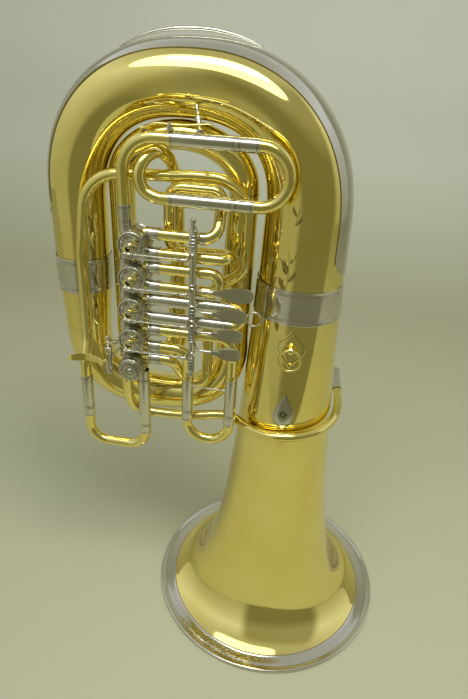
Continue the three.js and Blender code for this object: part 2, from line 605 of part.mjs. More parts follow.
const THUMB_X = -287;
const THUMB_Y = -94;
const THUMB_Z = 548;
add("thumb_lever_bracket", join(
  rod(V(THUMB_X, THUMB_Y, 519), V(THUMB_X, THUMB_Y, 577), 2.6, 10),
  ball(4.2, V(THUMB_X, THUMB_Y, 579)),
  ball(4.2, V(THUMB_X, THUMB_Y, 517)),
  block(14.5, 9, 5, THUMB_X + 7.2, THUMB_Y + 3.5, 571),
), nickel);
const LEVER_TIP_Y = -43.5;
const CRANK5_Z = V5 + CRANK_R * Math.cos(rad(CRANK_REST));
add("thumb_lever", join(
  turned(tubeProfile(2.9, 6, 524, 564), 12).translate(THUMB_X, THUMB_Y, 0),
  cut(
    turned(tubeProfile(39.2, 41.2, -7.5, 7.5), 32).translate(-322, -138, 541),
    block(200, 100, 40, -322, -188, 541),
    block(60, 100, 40, -245, -90, 541),
    block(60, 100, 40, -387, -90, 541),
  ),
  block(16, 3, 12, -294.5, -104.5, 541),
  block(4, 8, 10, -289, -101, 541),
  rod(V(THUMB_X, THUMB_Y + 4.5, CRANK5_Z), V(THUMB_X, LEVER_TIP_Y - 3.4, CRANK5_Z), 2.2, 8),
), brass);
const rod5Left = V(THUMB_X, LEVER_TIP_Y, CRANK5_Z);
const rod5Right = V(ROD_LEFT(4), LEVER_TIP_Y, CRANK5_Z);
add("thumb_rod", join(
  rod(rod5Left, rod5Right, 1.4, 6),
  ball(2.9, rod5Left),
  ball(2.5, rod5Right),
), nickel);

// ---- fittings on the bell ----
add("thumb_ring", join(
  new THREE.TorusGeometry(11, 1.6, 6, 16).rotateX(Math.PI / 2).translate(-59, -90, 639.5),
  rod(V(-48.2, -90, 637.5), V(-36.3, -62, 632), 1.8, 8),
), nickel);

// A plate that hugs the bell: an outline pushed through a thin ring of the bell's own radius.
function bellPlate(outline, z, radius) {
  const height = 90;
  const shell = turned([
    [radius + 2.4 + 2.5, z - height / 2], [radius + 4 + 2.5, z - height / 2],
    [radius + 4 - 2.5, z + height / 2], [radius + 2.4 - 2.5, z + height / 2],
  ], 32);
  const prism = new THREE.ExtrudeGeometry(outline, { depth: 60, bevelEnabled: false, curveSegments: 4 })
    .rotateX(Math.PI / 2).translate(0, -40, z);
  return geometryOf(solid(shell).intersect(solid(prism)));
}
const kite = new THREE.Shape();
kite.moveTo(0, 36);
kite.bezierCurveTo(5, 18, 22, 14, 22, 0);
kite.bezierCurveTo(22, -12, 6, -20, 0, -34);
kite.bezierCurveTo(-6, -20, -22, -12, -22, 0);
kite.bezierCurveTo(-22, 14, -5, 18, 0, 36);
const STRAP_Z = 588;
const LUG_Y = -82;
const LUG_Z = STRAP_Z + 2;
const STRAP_RING_R = 17;
const STRAP_TILT = 4;
add("strap_ring_plate", join(
  bellPlate(kite, STRAP_Z, 69.6),
  cut(
    join(
      block(6.6, 8.8, 7, 0, LUG_Y + 5.4, LUG_Z),
      rod(V(-3.3, LUG_Y, LUG_Z), V(3.3, LUG_Y, LUG_Z), 5.6, 12),
    ),
    rod(V(-5, LUG_Y, LUG_Z), V(5, LUG_Y, LUG_Z), 3.4, 12),
  ),
), brass);
const strapDrop = V(0, -Math.sin(rad(STRAP_TILT)), -Math.cos(rad(STRAP_TILT))).multiplyScalar(STRAP_RING_R);
add("strap_ring", new THREE.TorusGeometry(STRAP_RING_R, 2, 6, 18).rotateX(Math.PI / 2 - rad(STRAP_TILT))
  .translate(0, LUG_Y + strapDrop.y, LUG_Z + strapDrop.z), brass);
const teardrop = new THREE.Shape();
teardrop.moveTo(0, 36);
teardrop.bezierCurveTo(3, 22, 16, 12, 16, -8);
teardrop.bezierCurveTo(16, -22, 8, -28, 0, -33);
teardrop.bezierCurveTo(-8, -28, -16, -22, -16, -8);
teardrop.bezierCurveTo(-16, 12, -3, 22, 0, 36);
add("badge_plate", bellPlate(teardrop, 474, 76.6), nickel);

// ---- the origin goes under the middle of the whole instrument ----
const box = new THREE.Box3().setFromObject(tuba);
tuba.position.set(-(box.min.x + box.max.x) / 2, -(box.min.y + box.max.y) / 2, -box.min.z);

export default tuba;
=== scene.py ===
import math

import bmesh
import bpy
from mathutils import Matrix, Vector
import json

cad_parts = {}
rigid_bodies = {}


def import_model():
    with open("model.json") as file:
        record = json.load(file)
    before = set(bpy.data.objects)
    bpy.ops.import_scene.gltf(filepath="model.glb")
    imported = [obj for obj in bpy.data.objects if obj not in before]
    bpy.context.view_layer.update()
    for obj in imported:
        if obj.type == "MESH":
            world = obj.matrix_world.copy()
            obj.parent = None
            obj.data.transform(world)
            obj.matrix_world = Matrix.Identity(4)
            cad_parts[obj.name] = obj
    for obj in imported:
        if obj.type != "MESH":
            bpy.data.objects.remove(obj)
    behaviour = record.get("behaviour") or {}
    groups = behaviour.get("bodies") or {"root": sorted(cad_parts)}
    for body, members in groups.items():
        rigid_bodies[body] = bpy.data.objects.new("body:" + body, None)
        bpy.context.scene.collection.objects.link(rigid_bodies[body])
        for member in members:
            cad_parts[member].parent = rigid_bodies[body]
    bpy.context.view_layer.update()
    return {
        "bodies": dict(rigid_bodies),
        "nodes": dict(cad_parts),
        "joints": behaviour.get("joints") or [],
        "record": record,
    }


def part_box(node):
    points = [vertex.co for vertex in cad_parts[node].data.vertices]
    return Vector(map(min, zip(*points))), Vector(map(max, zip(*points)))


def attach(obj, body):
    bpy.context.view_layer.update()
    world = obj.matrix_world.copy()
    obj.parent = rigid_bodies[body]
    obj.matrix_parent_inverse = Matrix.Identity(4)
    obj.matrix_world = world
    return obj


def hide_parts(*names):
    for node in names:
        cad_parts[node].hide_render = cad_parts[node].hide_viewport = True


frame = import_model()

# Lengths below are millimetres measured from the bell's axis and the floor; MM and BELL_X turn them into
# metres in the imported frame.
MM = 0.001
garland_low, garland_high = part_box("bell_garland")
BELL_X = (garland_low.x + garland_high.x) / 2

# ---- camera ----
CAMERA_AT = Vector((BELL_X + 0.01419, -0.81288, 0.986))
CAMERA_YAW = math.radians(-6.87)
CAMERA_PITCH = math.radians(28.8)
CAMERA_ROLL = math.radians(3.51)
TURN = Matrix.Rotation(math.radians(1.0), 3, "Z")
forward = TURN @ Vector((
    math.sin(CAMERA_YAW) * math.cos(CAMERA_PITCH),
    math.cos(CAMERA_YAW) * math.cos(CAMERA_PITCH),
    -math.sin(CAMERA_PITCH),
))
level = TURN @ Vector((math.cos(CAMERA_YAW), -math.sin(CAMERA_YAW), 0))
above = level.cross(forward)
right = math.cos(CAMERA_ROLL) * level + math.sin(CAMERA_ROLL) * above
up = -math.sin(CAMERA_ROLL) * level + math.cos(CAMERA_ROLL) * above
camera_data = bpy.data.cameras.new("camera")
camera_data.lens = 28
camera_data.sensor_width = 36
camera_data.clip_end = 50
camera = bpy.data.objects.new("camera", camera_data)
camera.matrix_world = Matrix((right, up, -forward)).transposed().to_4x4()
camera.location = CAMERA_AT
bpy.context.scene.collection.objects.link(camera)
bpy.context.scene.camera = camera


# ---- materials ----
# Noise scales of the metal, in cycles per metre.
TONE_SCALE, SMUDGE_SCALE, LINE_SCALE, WAVE_SCALE, GRAIN_SCALE = 9, 22, 260, 26, 900


def node(tree, kind, **values):
    made = tree.nodes.new(kind)
    for name, value in values.items():
        if name in made.inputs:
            made.inputs[name].default_value = value
        else:
            setattr(made, name, value)
    return made


def noise(tree, scale, stretch=(1, 1, 1), detail=3):
    """A noise factor in the object's own coordinates, finer across the directions with a larger stretch."""
    place = node(tree, "ShaderNodeTexCoord")
    mapping = node(tree, "ShaderNodeMapping")
    mapping.inputs["Scale"].default_value = stretch
    made = node(tree, "ShaderNodeTexNoise", Scale=scale, Detail=detail)
    tree.links.new(place.outputs["Object"], mapping.inputs["Vector"])
    tree.links.new(mapping.outputs["Vector"], made.inputs["Vector"])
    return made.outputs["Fac"]


def ramp(tree, factor, *stops):
    made = node(tree, "ShaderNodeValToRGB")
    elements = made.color_ramp.elements
    while len(elements) < len(stops):
        elements.new(0.5)
    for element, (position, color) in zip(elements, stops):
        element.position = position
        element.color = (*color, 1)
    tree.links.new(factor, made.inputs["Fac"])
    return made.outputs["Color"]


def spread(tree, factor, low, high):
    made = node(tree, "ShaderNodeMapRange")
    made.inputs["From Min"].default_value = 0.3
    made.inputs["From Max"].default_value = 0.7
    made.inputs["To Min"].default_value = low
    made.inputs["To Max"].default_value = high
    tree.links.new(factor, made.inputs["Value"])
    return made.outputs["Result"]


def shader(name, metallic, coat=0.0):
    material = bpy.data.materials.new(name)
    material.use_nodes = True
    tree = material.node_tree
    principled = tree.nodes["Principled BSDF"]
    principled.inputs["Metallic"].default_value = metallic
    principled.inputs["Coat Weight"].default_value = coat
    principled.inputs["Coat Roughness"].default_value = 0.04
    return material, tree, principled


def metal(name, dark, light, rough, coat=0.0, wave=0.0, grain=0.0, stretch=(1, 1, 1)):
    """Polished metal: two close tones, roughness in smudges and fine lines, and a faint waviness."""
    material, tree, principled = shader(name, 1.0, coat)
    tree.links.new(
        ramp(tree, noise(tree, TONE_SCALE, detail=4), (0.35, dark), (0.65, light)),
        principled.inputs["Base Color"],
    )
    smudge = spread(tree, noise(tree, SMUDGE_SCALE, detail=5), rough[0], rough[1])
    fine = spread(tree, noise(tree, LINE_SCALE, stretch, 2), -0.4 * rough[0], 0.4 * rough[0])
    total = node(tree, "ShaderNodeMath", operation="ADD")
    tree.links.new(smudge, total.inputs[0])
    tree.links.new(fine, total.inputs[1])
    tree.links.new(total.outputs[0], principled.inputs["Roughness"])
    broad = node(tree, "ShaderNodeBump", Strength=wave, Distance=0.002)
    tree.links.new(noise(tree, WAVE_SCALE, detail=1), broad.inputs["Height"])
    lines = node(tree, "ShaderNodeBump", Strength=grain, Distance=0.0002)
    tree.links.new(noise(tree, GRAIN_SCALE, stretch, 2), lines.inputs["Height"])
    tree.links.new(broad.outputs["Normal"], lines.inputs["Normal"])
    tree.links.new(lines.outputs["Normal"], principled.inputs["Normal"])
    return material


def matt(name, dark, light, rough, scale, bump):
    material, tree, principled = shader(name, 0.0)
    speckle = noise(tree, scale, detail=6)
    tree.links.new(ramp(tree, speckle, (0.35, dark), (0.65, light)), principled.inputs["Base Color"])
    principled.inputs["Roughness"].default_value = rough
    relief = node(tree, "ShaderNodeBump", Strength=bump, Distance=0.001)
    tree.links.new(speckle, relief.inputs["Height"])
    tree.links.new(relief.outputs["Normal"], principled.inputs["Normal"])
    return material


BRASS = metal("lacquered_brass", (0.88, 0.73, 0.22), (0.93, 0.80, 0.29), (0.045, 0.09), coat=0.2, wave=0.05)
SLIDE_BRASS = metal("slide_brass", (0.84, 0.70, 0.23), (0.91, 0.78, 0.30), (0.08, 0.14), coat=0.15,
                    wave=0.04, grain=0.05)
NICKEL = metal("nickel_silver", (0.64, 0.61, 0.51), (0.72, 0.69, 0.59), (0.09, 0.17), coat=0.1, wave=0.04,
               grain=0.06)
SPUN = metal("spun_nickel", (0.52, 0.50, 0.40), (0.66, 0.63, 0.53), (0.18, 0.28), coat=0.1, grain=0.25,
             stretch=(0.3, 6, 6))
ENGRAVING_AND_SLOT_SHADE = metal("engraving_and_slot_shade", (0.10, 0.085, 0.045), (0.18, 0.155, 0.09), (0.35, 0.5))
LEAF = metal("engraved_leaf", (0.34, 0.27, 0.08), (0.50, 0.40, 0.14), (0.3, 0.45), grain=0.4,
             stretch=(4, 4, 0.5))
STEEL = metal("steel_screw", (0.50, 0.48, 0.40), (0.62, 0.60, 0.52), (0.2, 0.32), grain=0.1)
CORK = matt("cork", (0.36, 0.22, 0.12), (0.62, 0.43, 0.26), 0.9, 700, 0.6)
BUMPER = matt("bumper_rubber", (0.10, 0.085, 0.05), (0.17, 0.15, 0.09), 0.7, 500, 0.3)


# ---- mesh making ----
SHARP_ANGLE = math.radians(38)
MERGE_WITHIN = 1e-7
ON_AXIS = 1e-6
# How long a Bezier curve's handle is for a quarter circle, and the least distance between a route's points.
QUARTER_HANDLE = 0.5523
LEAST_STEP = 0.4


def V(x, y, z):
    return Vector((x, y, z))


class Piece:
    """Collects rings and faces in millimetres, each with its material, and becomes one object."""

    def __init__(self, name, node_name, slot=None):
        self.name = name
        self.node_name = node_name
        self.slot = slot
        self.points = []
        self.faces = []
        self.looks = []

    def face(self, corners, look):
        self.faces.append(corners)
        self.looks.append(look)

    def skin(self, rows, look, around=True, back=False):
        """Quads between rows of points. around closes each row, back joins the last row to the first."""
        start = len(self.points)
        count = len(rows[0])
        looks = look if isinstance(look, list) else [look] * len(rows)
        for row in rows:
            self.points.extend(row)
        pairs = [(i, i + 1) for i in range(len(rows) - 1)] + ([(len(rows) - 1, 0)] if back else [])
        for a, b in pairs:
            for k in range(count if around else count - 1):
                n = (k + 1) % count
                quad = [start + a * count + k, start + a * count + n, start + b * count + n,
                        start + b * count + k]
                self.face(quad, looks[a])
        return start

    def solid(self, rows, look, lid_look=None):
        """A skin closed by a face at each end."""
        start = self.skin(rows, look)
        count = len(rows[0])
        for corner in (start, start + (len(rows) - 1) * count):
            self.face(list(range(corner, corner + count)), lid_look or look)

    def tube(self, points, radius, look, wall=0.8, sides=32):
        """A hollow tube with open ends. radius may be a number or a function of the share of the length."""
        frames = transport(points)
        radii = radii_along(points, radius)
        outer = [ring(frame, r, sides) for frame, r in zip(frames, radii)]
        inner = [ring(frame, r - wall, sides) for frame, r in zip(frames, radii)]
        self.skin(outer + inner[::-1], look, back=True)

    def bar(self, points, radius, look, sides=16):
        """A solid round bar with rounded ends."""
        frames = transport(points)
        radii = radii_along(points, radius)
        rows = [end_ring(frames[0], radii[0], share, sides, -1) for share in (0.5, 0.15)]
        rows += [ring(frame, r, sides) for frame, r in zip(frames, radii)]
        rows += [end_ring(frames[-1], radii[-1], share, sides, 1) for share in (0.15, 0.5)]
        self.solid(rows, look)

    def lathe(self, profile, look, at=(0, 0, 0), axis=(0, 0, 1), sides=48, closed=False):
        """Turns [radius, along] or [radius, along, material] about an axis through at.

        A profile that starts and ends on the axis makes a solid. closed joins its end to its start.
        """
        turn = Vector((0, 0, 1)).rotation_difference(Vector(axis))
        origin = Vector(at)
        rows, looks, ends = [], [], []
        for r, h, *own_look in profile:
            if r < ON_AXIS:
                ends.append((len(rows), h))
                continue
            looks.append(own_look[0] if own_look else look)
            rows.append([origin + turn @ V(r * math.cos(t), r * math.sin(t), h) for t in circle(sides)])
        start = self.skin(rows, looks, back=closed)
        for place, h in ends:
            tip = len(self.points)
            self.points.append(origin + turn @ Vector((0, 0, h)))
            base = start if place == 0 else start + (len(rows) - 1) * sides
            for k in range(sides):
                self.face([base + k, base + (k + 1) % sides, tip], looks[0] if place == 0 else looks[-1])

    def ball(self, radius, at, look, sides=16):
        steps = 8
        profile = [(radius * math.sin(math.pi * k / steps), -radius * math.cos(math.pi * k / steps))
                   for k in range(steps + 1)]
        profile[0] = (0, -radius)
        profile[-1] = (0, radius)
        self.lathe(profile, look, at=at, sides=sides)

    def torus(self, radius, thick, at, axis, look, sides=48, around=12):
        profile = [(radius + thick * math.cos(t), thick * math.sin(t)) for t in circle(around)]
        self.lathe(profile, look, at=at, axis=axis, sides=sides, closed=True)

    def box(self, size, at, look, edge=0.5, turn=None):
        """A block with chamfered edges."""
        made = bmesh.new()
        bmesh.ops.create_cube(made, size=1)
        bmesh.ops.scale(made, vec=size, verts=made.verts)
        bmesh.ops.bevel(made, geom=made.edges[:], offset=edge, segments=2, affect="EDGES", profile=0.5)
        if turn is not None:
            bmesh.ops.rotate(made, matrix=turn, verts=made.verts)
        bmesh.ops.translate(made, vec=Vector(at), verts=made.verts)
        start = len(self.points)
        made.verts.index_update()
        self.points.extend(v.co.copy() for v in made.verts)
        for f in made.faces:
            self.face([start + v.index for v in f.verts], look)
        made.free()

    def make(self):
        data = bpy.data.meshes.new(self.name)
        shift = Vector((BELL_X, 0, 0))
        data.from_pydata([p * MM + shift for p in self.points], [], self.faces)
        used = list(dict.fromkeys(self.looks))
        for look in used:
            data.materials.append(look)
        for polygon, look in zip(data.polygons, self.looks):
            polygon.material_index = used.index(look)
            polygon.use_smooth = True
        tidy = bmesh.new()
        tidy.from_mesh(data)
        bmesh.ops.remove_doubles(tidy, verts=tidy.verts, dist=MERGE_WITHIN)
        bmesh.ops.recalc_face_normals(tidy, faces=tidy.faces)
        tidy.to_mesh(data)
        tidy.free()
        data.set_sharp_from_angle(angle=SHARP_ANGLE)
        made = bpy.data.objects.new(self.name, data)
        bpy.context.scene.collection.objects.link(made)
        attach(made, BODY_OF[self.node_name])
        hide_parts(self.node_name)
        plated = used[0] in (NICKEL, SPUN, STEEL)
        self.slot or ("nickel_silver" if plated else "lacquered_brass")


BODY_OF = {
    name: body for body, names in frame["record"]["behaviour"]["bodies"].items() for name in names
}


def transport(points):
    """Position, side and up vector along a line, without twist."""
    legs = [(b - a).normalized() for a, b in zip(points, points[1:])]
    tangents = [(before + after).normalized() for before, after in zip([legs[0], *legs], [*legs, legs[-1]])]
    guess = V(0, 1, 0) if abs(tangents[0].y) < 0.9 else V(1, 0, 0)
    side = (guess - tangents[0] * guess.dot(tangents[0])).normalized()
    frames = []
    for i, point in enumerate(points):
        if i:
            side = tangents[i - 1].rotation_difference(tangents[i]) @ side
            side = (side - tangents[i] * side.dot(tangents[i])).normalized()
        frames.append((point, side, tangents[i].cross(side), tangents[i]))
    return frames


def lengths(points):
    """How far along the line each point lies, from 0 to 1."""
    total = [0.0]
    for a, b in zip(points, points[1:]):
        total.append(total[-1] + (b - a).length)
    return [t / total[-1] for t in total]


def circle(count, turns=1.0):
    """Angles evenly round, the last one short of the start."""
    return [2 * math.pi * turns * k / count for k in range(count)]


def bezier(a, b, c, d, t):
    """A point on a cubic curve, from vectors or from tuples of numbers."""
    u = 1 - t
    weights = (u ** 3, 3 * t * u * u, 3 * t * t * u, t ** 3)
    return tuple(sum(w * p[n] for w, p in zip(weights, (a, b, c, d))) for n in range(len(a)))


def bezier_outline(start, curves, steps=16):
    points = []
    for b, c, d in curves:
        points += [bezier(start, b, c, d, k / steps) for k in range(steps)]
        start = d
    return points


def radii_along(points, radius):
    """The radius at each point, from a number or from a function of the share of the length."""
    return [radius(share) if callable(radius) else radius for share in lengths(points)]


def ring(place, radius, sides):
    point, side, upward, _ = place
    return [point + side * (radius * math.cos(t)) + upward * (radius * math.sin(t)) for t in circle(sides)]


def end_ring(place, radius, share, sides, direction):
    """A smaller ring a little way past the end, for a rounded tip."""
    point, side, upward, along = place
    lift = radius * 0.35 * math.sqrt(share) * direction
    return ring((point + along * lift, side, upward, along), radius * (1 - share), sides)


def route(corners, bends, steps=8):
    """A line through corners, each rounded to its own bend radius."""
    points = [Vector(corners[0])]
    bends = bends if isinstance(bends, list) else [bends] * (len(corners) - 2)
    for i in range(1, len(corners) - 1):
        corner = Vector(corners[i])
        back = (Vector(corners[i - 1]) - corner).normalized()
        on = (Vector(corners[i + 1]) - corner).normalized()
        reach = bends[i - 1] * math.tan((math.pi - back.angle(on)) / 2)
        start, end = corner + back * reach, corner + on * reach
        handle = QUARTER_HANDLE * reach
        first, second = start - back * handle, end - on * handle
        for k in range(steps + 1):
            p = Vector(bezier(start, first, second, end, k / steps))
            if (p - points[-1]).length > LEAST_STEP:
                points.append(p)
    if (Vector(corners[-1]) - points[-1]).length > LEAST_STEP:
        points.append(Vector(corners[-1]))
    return points


def spline(corners, steps):
    """A centripetal Catmull-Rom curve through corners, evenly spaced."""
    corners = [Vector(c) for c in corners]
    padded = [corners[0] * 2 - corners[1], *corners, corners[-1] * 2 - corners[-2]]
    fine = []
    for a, b, c, d in zip(padded, padded[1:], padded[2:], padded[3:]):
        t0, t1, t2 = ((b - a).length ** 0.5, (c - b).length ** 0.5, (d - c).length ** 0.5)
        m1 = ((b - a) / t0 - (c - a) / (t0 + t1) + (c - b) / t1) * t1
        m2 = ((c - b) / t1 - (d - b) / (t1 + t2) + (d - c) / t2) * t1
        for k in range(20):
            t = k / 20
            fine.append(b * (2 * t ** 3 - 3 * t * t + 1) + m1 * (t ** 3 - 2 * t * t + t)
                        + c * (-2 * t ** 3 + 3 * t * t) + m2 * (t ** 3 - t * t))
    fine.append(corners[-1])
    shares = lengths(fine)
    spaced, j = [], 0
    for k in range(steps + 1):
        want = k / steps
        while j < len(shares) - 2 and shares[j + 1] < want:
            j += 1
        span = shares[j + 1] - shares[j]
        spaced.append(fine[j].lerp(fine[j + 1], (want - shares[j]) / span if span else 0))
    return spaced


def arc(shape, a, b, steps):
    x, z, across, high, power = shape
    bend = lambda share: math.copysign(abs(share) ** (2 / power), share)
    angles = [math.radians(a + (b - a) * k / steps) for k in range(steps + 1)]
    return [V(x + across * bend(math.cos(t)), 0, z + high * bend(math.sin(t))) for t in angles]


def between(a, b):
    return lambda share: a + (b - a) * share


LINE_PITCH = 2.0
LINE_DEPTH = 0.35


def ringed(radius, start, end, line, inset_by, pairs, bead):
    """A ferrule's outline from start to end along its axis, with engraved lines near each edge."""
    profile = [(radius - 0.8, start), (radius - 0.1, start), (radius + bead, start + 0.5),
               (radius + bead, start + 1.1), (radius, start + 1.6)]
    marks = [inset_by + LINE_PITCH * k for k in range(pairs)]
    for at in [start + m for m in marks] + [end - m for m in reversed(marks)]:
        profile += [(radius, at - line), (radius - LINE_DEPTH, at - 0.4 * line, ENGRAVING_AND_SLOT_SHADE),
                    (radius - LINE_DEPTH, at + 0.4 * line), (radius, at + line)]
    profile += [(radius, end - 1.6), (radius + bead, end - 1.1), (radius + bead, end - 0.5),
                (radius - 0.1, end), (radius - 0.8, end)]
    return profile


def collar(piece, a, b, radius, inner=None, pairs=2, inset_by=2.2):
    """A nickel sleeve from a to b with engraved lines at its ends."""
    a, b = Vector(a), Vector(b)
    long = (b - a).length
    bore = radius - 2 if inner is None else inner
    profile = [(bore, 0), *ringed(radius, 0, long, 0.3, inset_by, pairs, 0.2), (bore, long)]
    piece.lathe(profile, NICKEL, at=a, axis=(b - a).normalized(), sides=40, closed=True)


def outer_sleeve(piece, a, b):
    collar(piece, a, b, SLEEVE_R, inner=SLEEVE_IN)


# ---- bell and garland ----
BELL_OUTLINE = [
    (193, 6.5), (179.5, 13), (161, 27), (143.8, 50), (128, 86), (112.8, 140), (99.5, 220), (88.1, 330),
    (77.4, 480), (67.4, 652),
]
WALL = 0.6
outside = [(p.x, p.z) for p in spline([(r, 0, z) for r, z in BELL_OUTLINE], 90)]
inside = [(r - WALL, z + 0.3) for r, z in outside]
bell = Piece("bell_shell", "bell")
bell.lathe(outside + inside[::-1], BRASS, sides=160, closed=True)
bell.make()

RIM = (220.8, 3.2, 3.2)
garland = [(193.3, 5.3), (193.1, 6.2), (193.7, 6.9), (194.6, 6.9), (195.3, 6.2), (199, 5.6), (206, 4.7),
           (212, 4.1), (212.8, 3.8, ENGRAVING_AND_SLOT_SHADE), (213.4, 3.8), (214, 4.1), (216.4, 4.2)]
garland += [(RIM[0] + RIM[2] * math.cos(t), RIM[1] + RIM[2] * math.sin(t))
            for t in [math.radians(140 - 20 * k) for k in range(15)]]
garland += [(214, 2.4), (206, 3.4), (199, 4.4)]
rim = Piece("bell_garland_rim", "bell_garland")
rim.lathe(garland, NICKEL, sides=160, closed=True)
rim.make()

# ---- big bow, its guard and the ferrules ----
BIG_BOW = (-178.5, 774, 179, 175, 2.3)
BOW_FOOT = 655
RIGHT_X, LEFT_X = BIG_BOW[0] + BIG_BOW[2], BIG_BOW[0] - BIG_BOW[2]
ARCH_STEPS = 96


def arch_radius(share):
    return 64.5 * (1 - share) ** 2 + 2 * 47.5 * share * (1 - share) + 44.5 * share ** 2


arch = arc(BIG_BOW, 0, 180, ARCH_STEPS)
bow_line = [V(RIGHT_X, 0, BOW_FOOT), V(RIGHT_X, 0, 700), V(RIGHT_X, 0, 740), *arch,
            V(LEFT_X, 0, 740), V(LEFT_X, 0, 700), V(LEFT_X, 0, BOW_FOOT)]
bow_radii = [67.2, 66.0, 65.2, *[arch_radius(k / ARCH_STEPS) for k in range(ARCH_STEPS + 1)],
             44.2, 43.8, 43.3]
bow_shares = lengths(bow_line)


def bow_radius(share):
    i = min(range(len(bow_shares)), key=lambda k: abs(bow_shares[k] - share))
    return bow_radii[i]


big_bow = Piece("big_bow_tube", "big_bow")
big_bow.tube(bow_line, bow_radius, BRASS, WALL, sides=72)


def on_leg(angle, z, height):
    r = 67.25 - 0.03 * (z - BOW_FOOT) + 0.00004 * (z - BOW_FOOT) ** 2 + height
    return V(RIGHT_X + r * math.sin(angle), -r * math.cos(angle), z)


def sprig(piece, foot, tip, leaves, long, broad):
    """An engraved sprig: a thin curved stem with paired leaves. foot and tip are [degrees, height]."""
    def stem(share):
        sway = 2.2 * math.sin(2.4 * math.pi * share)
        return (foot[0] + (tip[0] - foot[0]) * share + sway, foot[1] + (tip[1] - foot[1]) * share)

    def strip(points, widths):
        rows = []
        for (a, z), w in zip(points, widths):
            rows.append([on_leg(math.radians(a - w), z, -0.2), on_leg(math.radians(a - w), z, 0.12),
                         on_leg(math.radians(a), z, 0.16), on_leg(math.radians(a + w), z, 0.12),
                         on_leg(math.radians(a + w), z, -0.2)])
        piece.solid(rows, LEAF)

    strip([stem(k / 24) for k in range(25)], [0.42] * 25)
    for k in range(leaves):
        a, z = stem((k + 0.8) / (leaves + 0.6))
        side = 1 if k % 2 else -1
        size = 1 - 0.35 * k / leaves
        points, widths = [], []
        for t in range(11):
            share = t / 10
            points.append((a + side * (1.0 + 8.5 * size * math.sin(1.5 * share)), z + long * size * share))
            widths.append(max(0.12, broad * size * math.sin(math.pi * share ** 0.8) ** 0.9))
        strip(points, widths)


sprig(big_bow, (-19, 668), (-12.3, 800), 9, 20, 3.2)
big_bow.make()

# The guard: an arched sheet with a rolled edge, narrowing to a round tip at each end.
GUARD_HALF = math.radians(44)
GUARD_TIP = 34
guard_line = [V(RIGHT_X, 0, 694 + k) for k in (0, 1, 3, 6, 10, 15, 21, 28, 36, 50, 66)]
guard_line += arch
guard_line += [V(LEFT_X, 0, 742 + k) for k in (28, 21, 15, 10, 6, 3, 1, 0)]
ACROSS = 24


def guard_radius(i):
    z = guard_line[i].z
    if i < 11:
        return 64.5 + 1.5 * (774 - z) / 74
    if i >= len(guard_line) - 8:
        return 44.5
    return arch_radius((i - 11) / ARCH_STEPS)


guard = Piece("bow_guard_sheet", "bow_guard_strip")
guard_frames = transport(guard_line)
reach = [0.0]
for a, b in zip(guard_line, guard_line[1:]):
    reach.append(reach[-1] + (b - a).length)
guard_rows = []
for i, (point, side, upward, _) in enumerate(guard_frames):
    from_end = min(reach[i], reach[-1] - reach[i])
    full = min(1.0, from_end / GUARD_TIP)
    width = GUARD_HALF * max(0.03, math.sqrt(1 - (1 - full) ** 2))
    out = upward if upward.dot(V(BIG_BOW[0], 0, 700) - point) < 0 else -upward
    outer_row, inner_row = [], []
    for k in range(ACROSS + 1):
        share = -1 + 2 * k / ACROSS
        edge = 0.45 if abs(share) > 0.93 else 0.0
        direction = side * math.sin(width * share) + out * math.cos(width * share)
        outer_row.append(point + direction * (guard_radius(i) + 1.0 + edge))
        inner_row.append(point + direction * (guard_radius(i) + 0.1))
    guard_rows.append(outer_row + inner_row[::-1])
guard.solid(guard_rows, NICKEL)
guard.make()

RAIL_FROM, RAIL_TO, RAIL_STEPS = 68, 114, 40
rail = []
for k, point in enumerate(arc(BIG_BOW, RAIL_FROM, RAIL_TO, RAIL_STEPS)):
    angle = math.radians(RAIL_FROM + (RAIL_TO - RAIL_FROM) * k / RAIL_STEPS)
    lift = arch_radius(angle / math.pi) + 2.2 + 6.4 * math.sin(math.pi * k / RAIL_STEPS)
    rail.append(point + V(math.cos(angle), 0, math.sin(angle)).normalized() * lift)
guard_rail = Piece("bow_guard_rail_bar", "bow_guard_rail")
guard_rail.bar(rail, lambda share: 0.7 + 2.0 * math.sin(math.pi * share) ** 0.5, NICKEL)
guard_rail.make()

for name, node_name, x, foot, top, sides in (
    ("bell_ferrule_band", "bell_ferrule", 0, (70.7, 626), (68.8, 680), 128),
    ("left_ferrule_band", "left_ferrule", LEFT_X, (44.2, 624), (46.1, 682), 96),
):
    band = Piece(name, node_name)
    lean = (top[0] - foot[0]) / (top[1] - foot[1])
    outline = [(r + lean * (z - foot[1]), z, *rest)
               for r, z, *rest in ringed(foot[0] - 0.2, foot[1], top[1], 0.45, 6.0, 2, 0.15)]
    outline = [(foot[0] - 2.2, foot[1]), *outline, (top[0] - 1.6, top[1])]
    band.lathe(outline, NICKEL, at=(x, 0, 0), sides=sides, closed=True)
    band.make()

# ---- bottom bow and inner branches ----
BOTTOM_BOW = (-230, 553, 127.5, 119, 2.5)
INNER_BOW = (-191.5, 806, 94.5, 69.5, 2)
INNER_BEND = (-241.75, 551, 44.25, 44.25, 2)
GAP = 0.3
STUB = 4


def bow(shape, a, b, steps):
    step = V(0, 0, -STUB if a == 0 else STUB)
    points = arc(shape, a, b, steps)
    return [points[0] + step, *points, points[-1] + step]


def plain_tube(name, node_name, points, radius, look=BRASS, wall=0.6, sides=40):
    made = Piece(name, node_name)
    made.tube(points, radius, look, wall, sides)
    return made


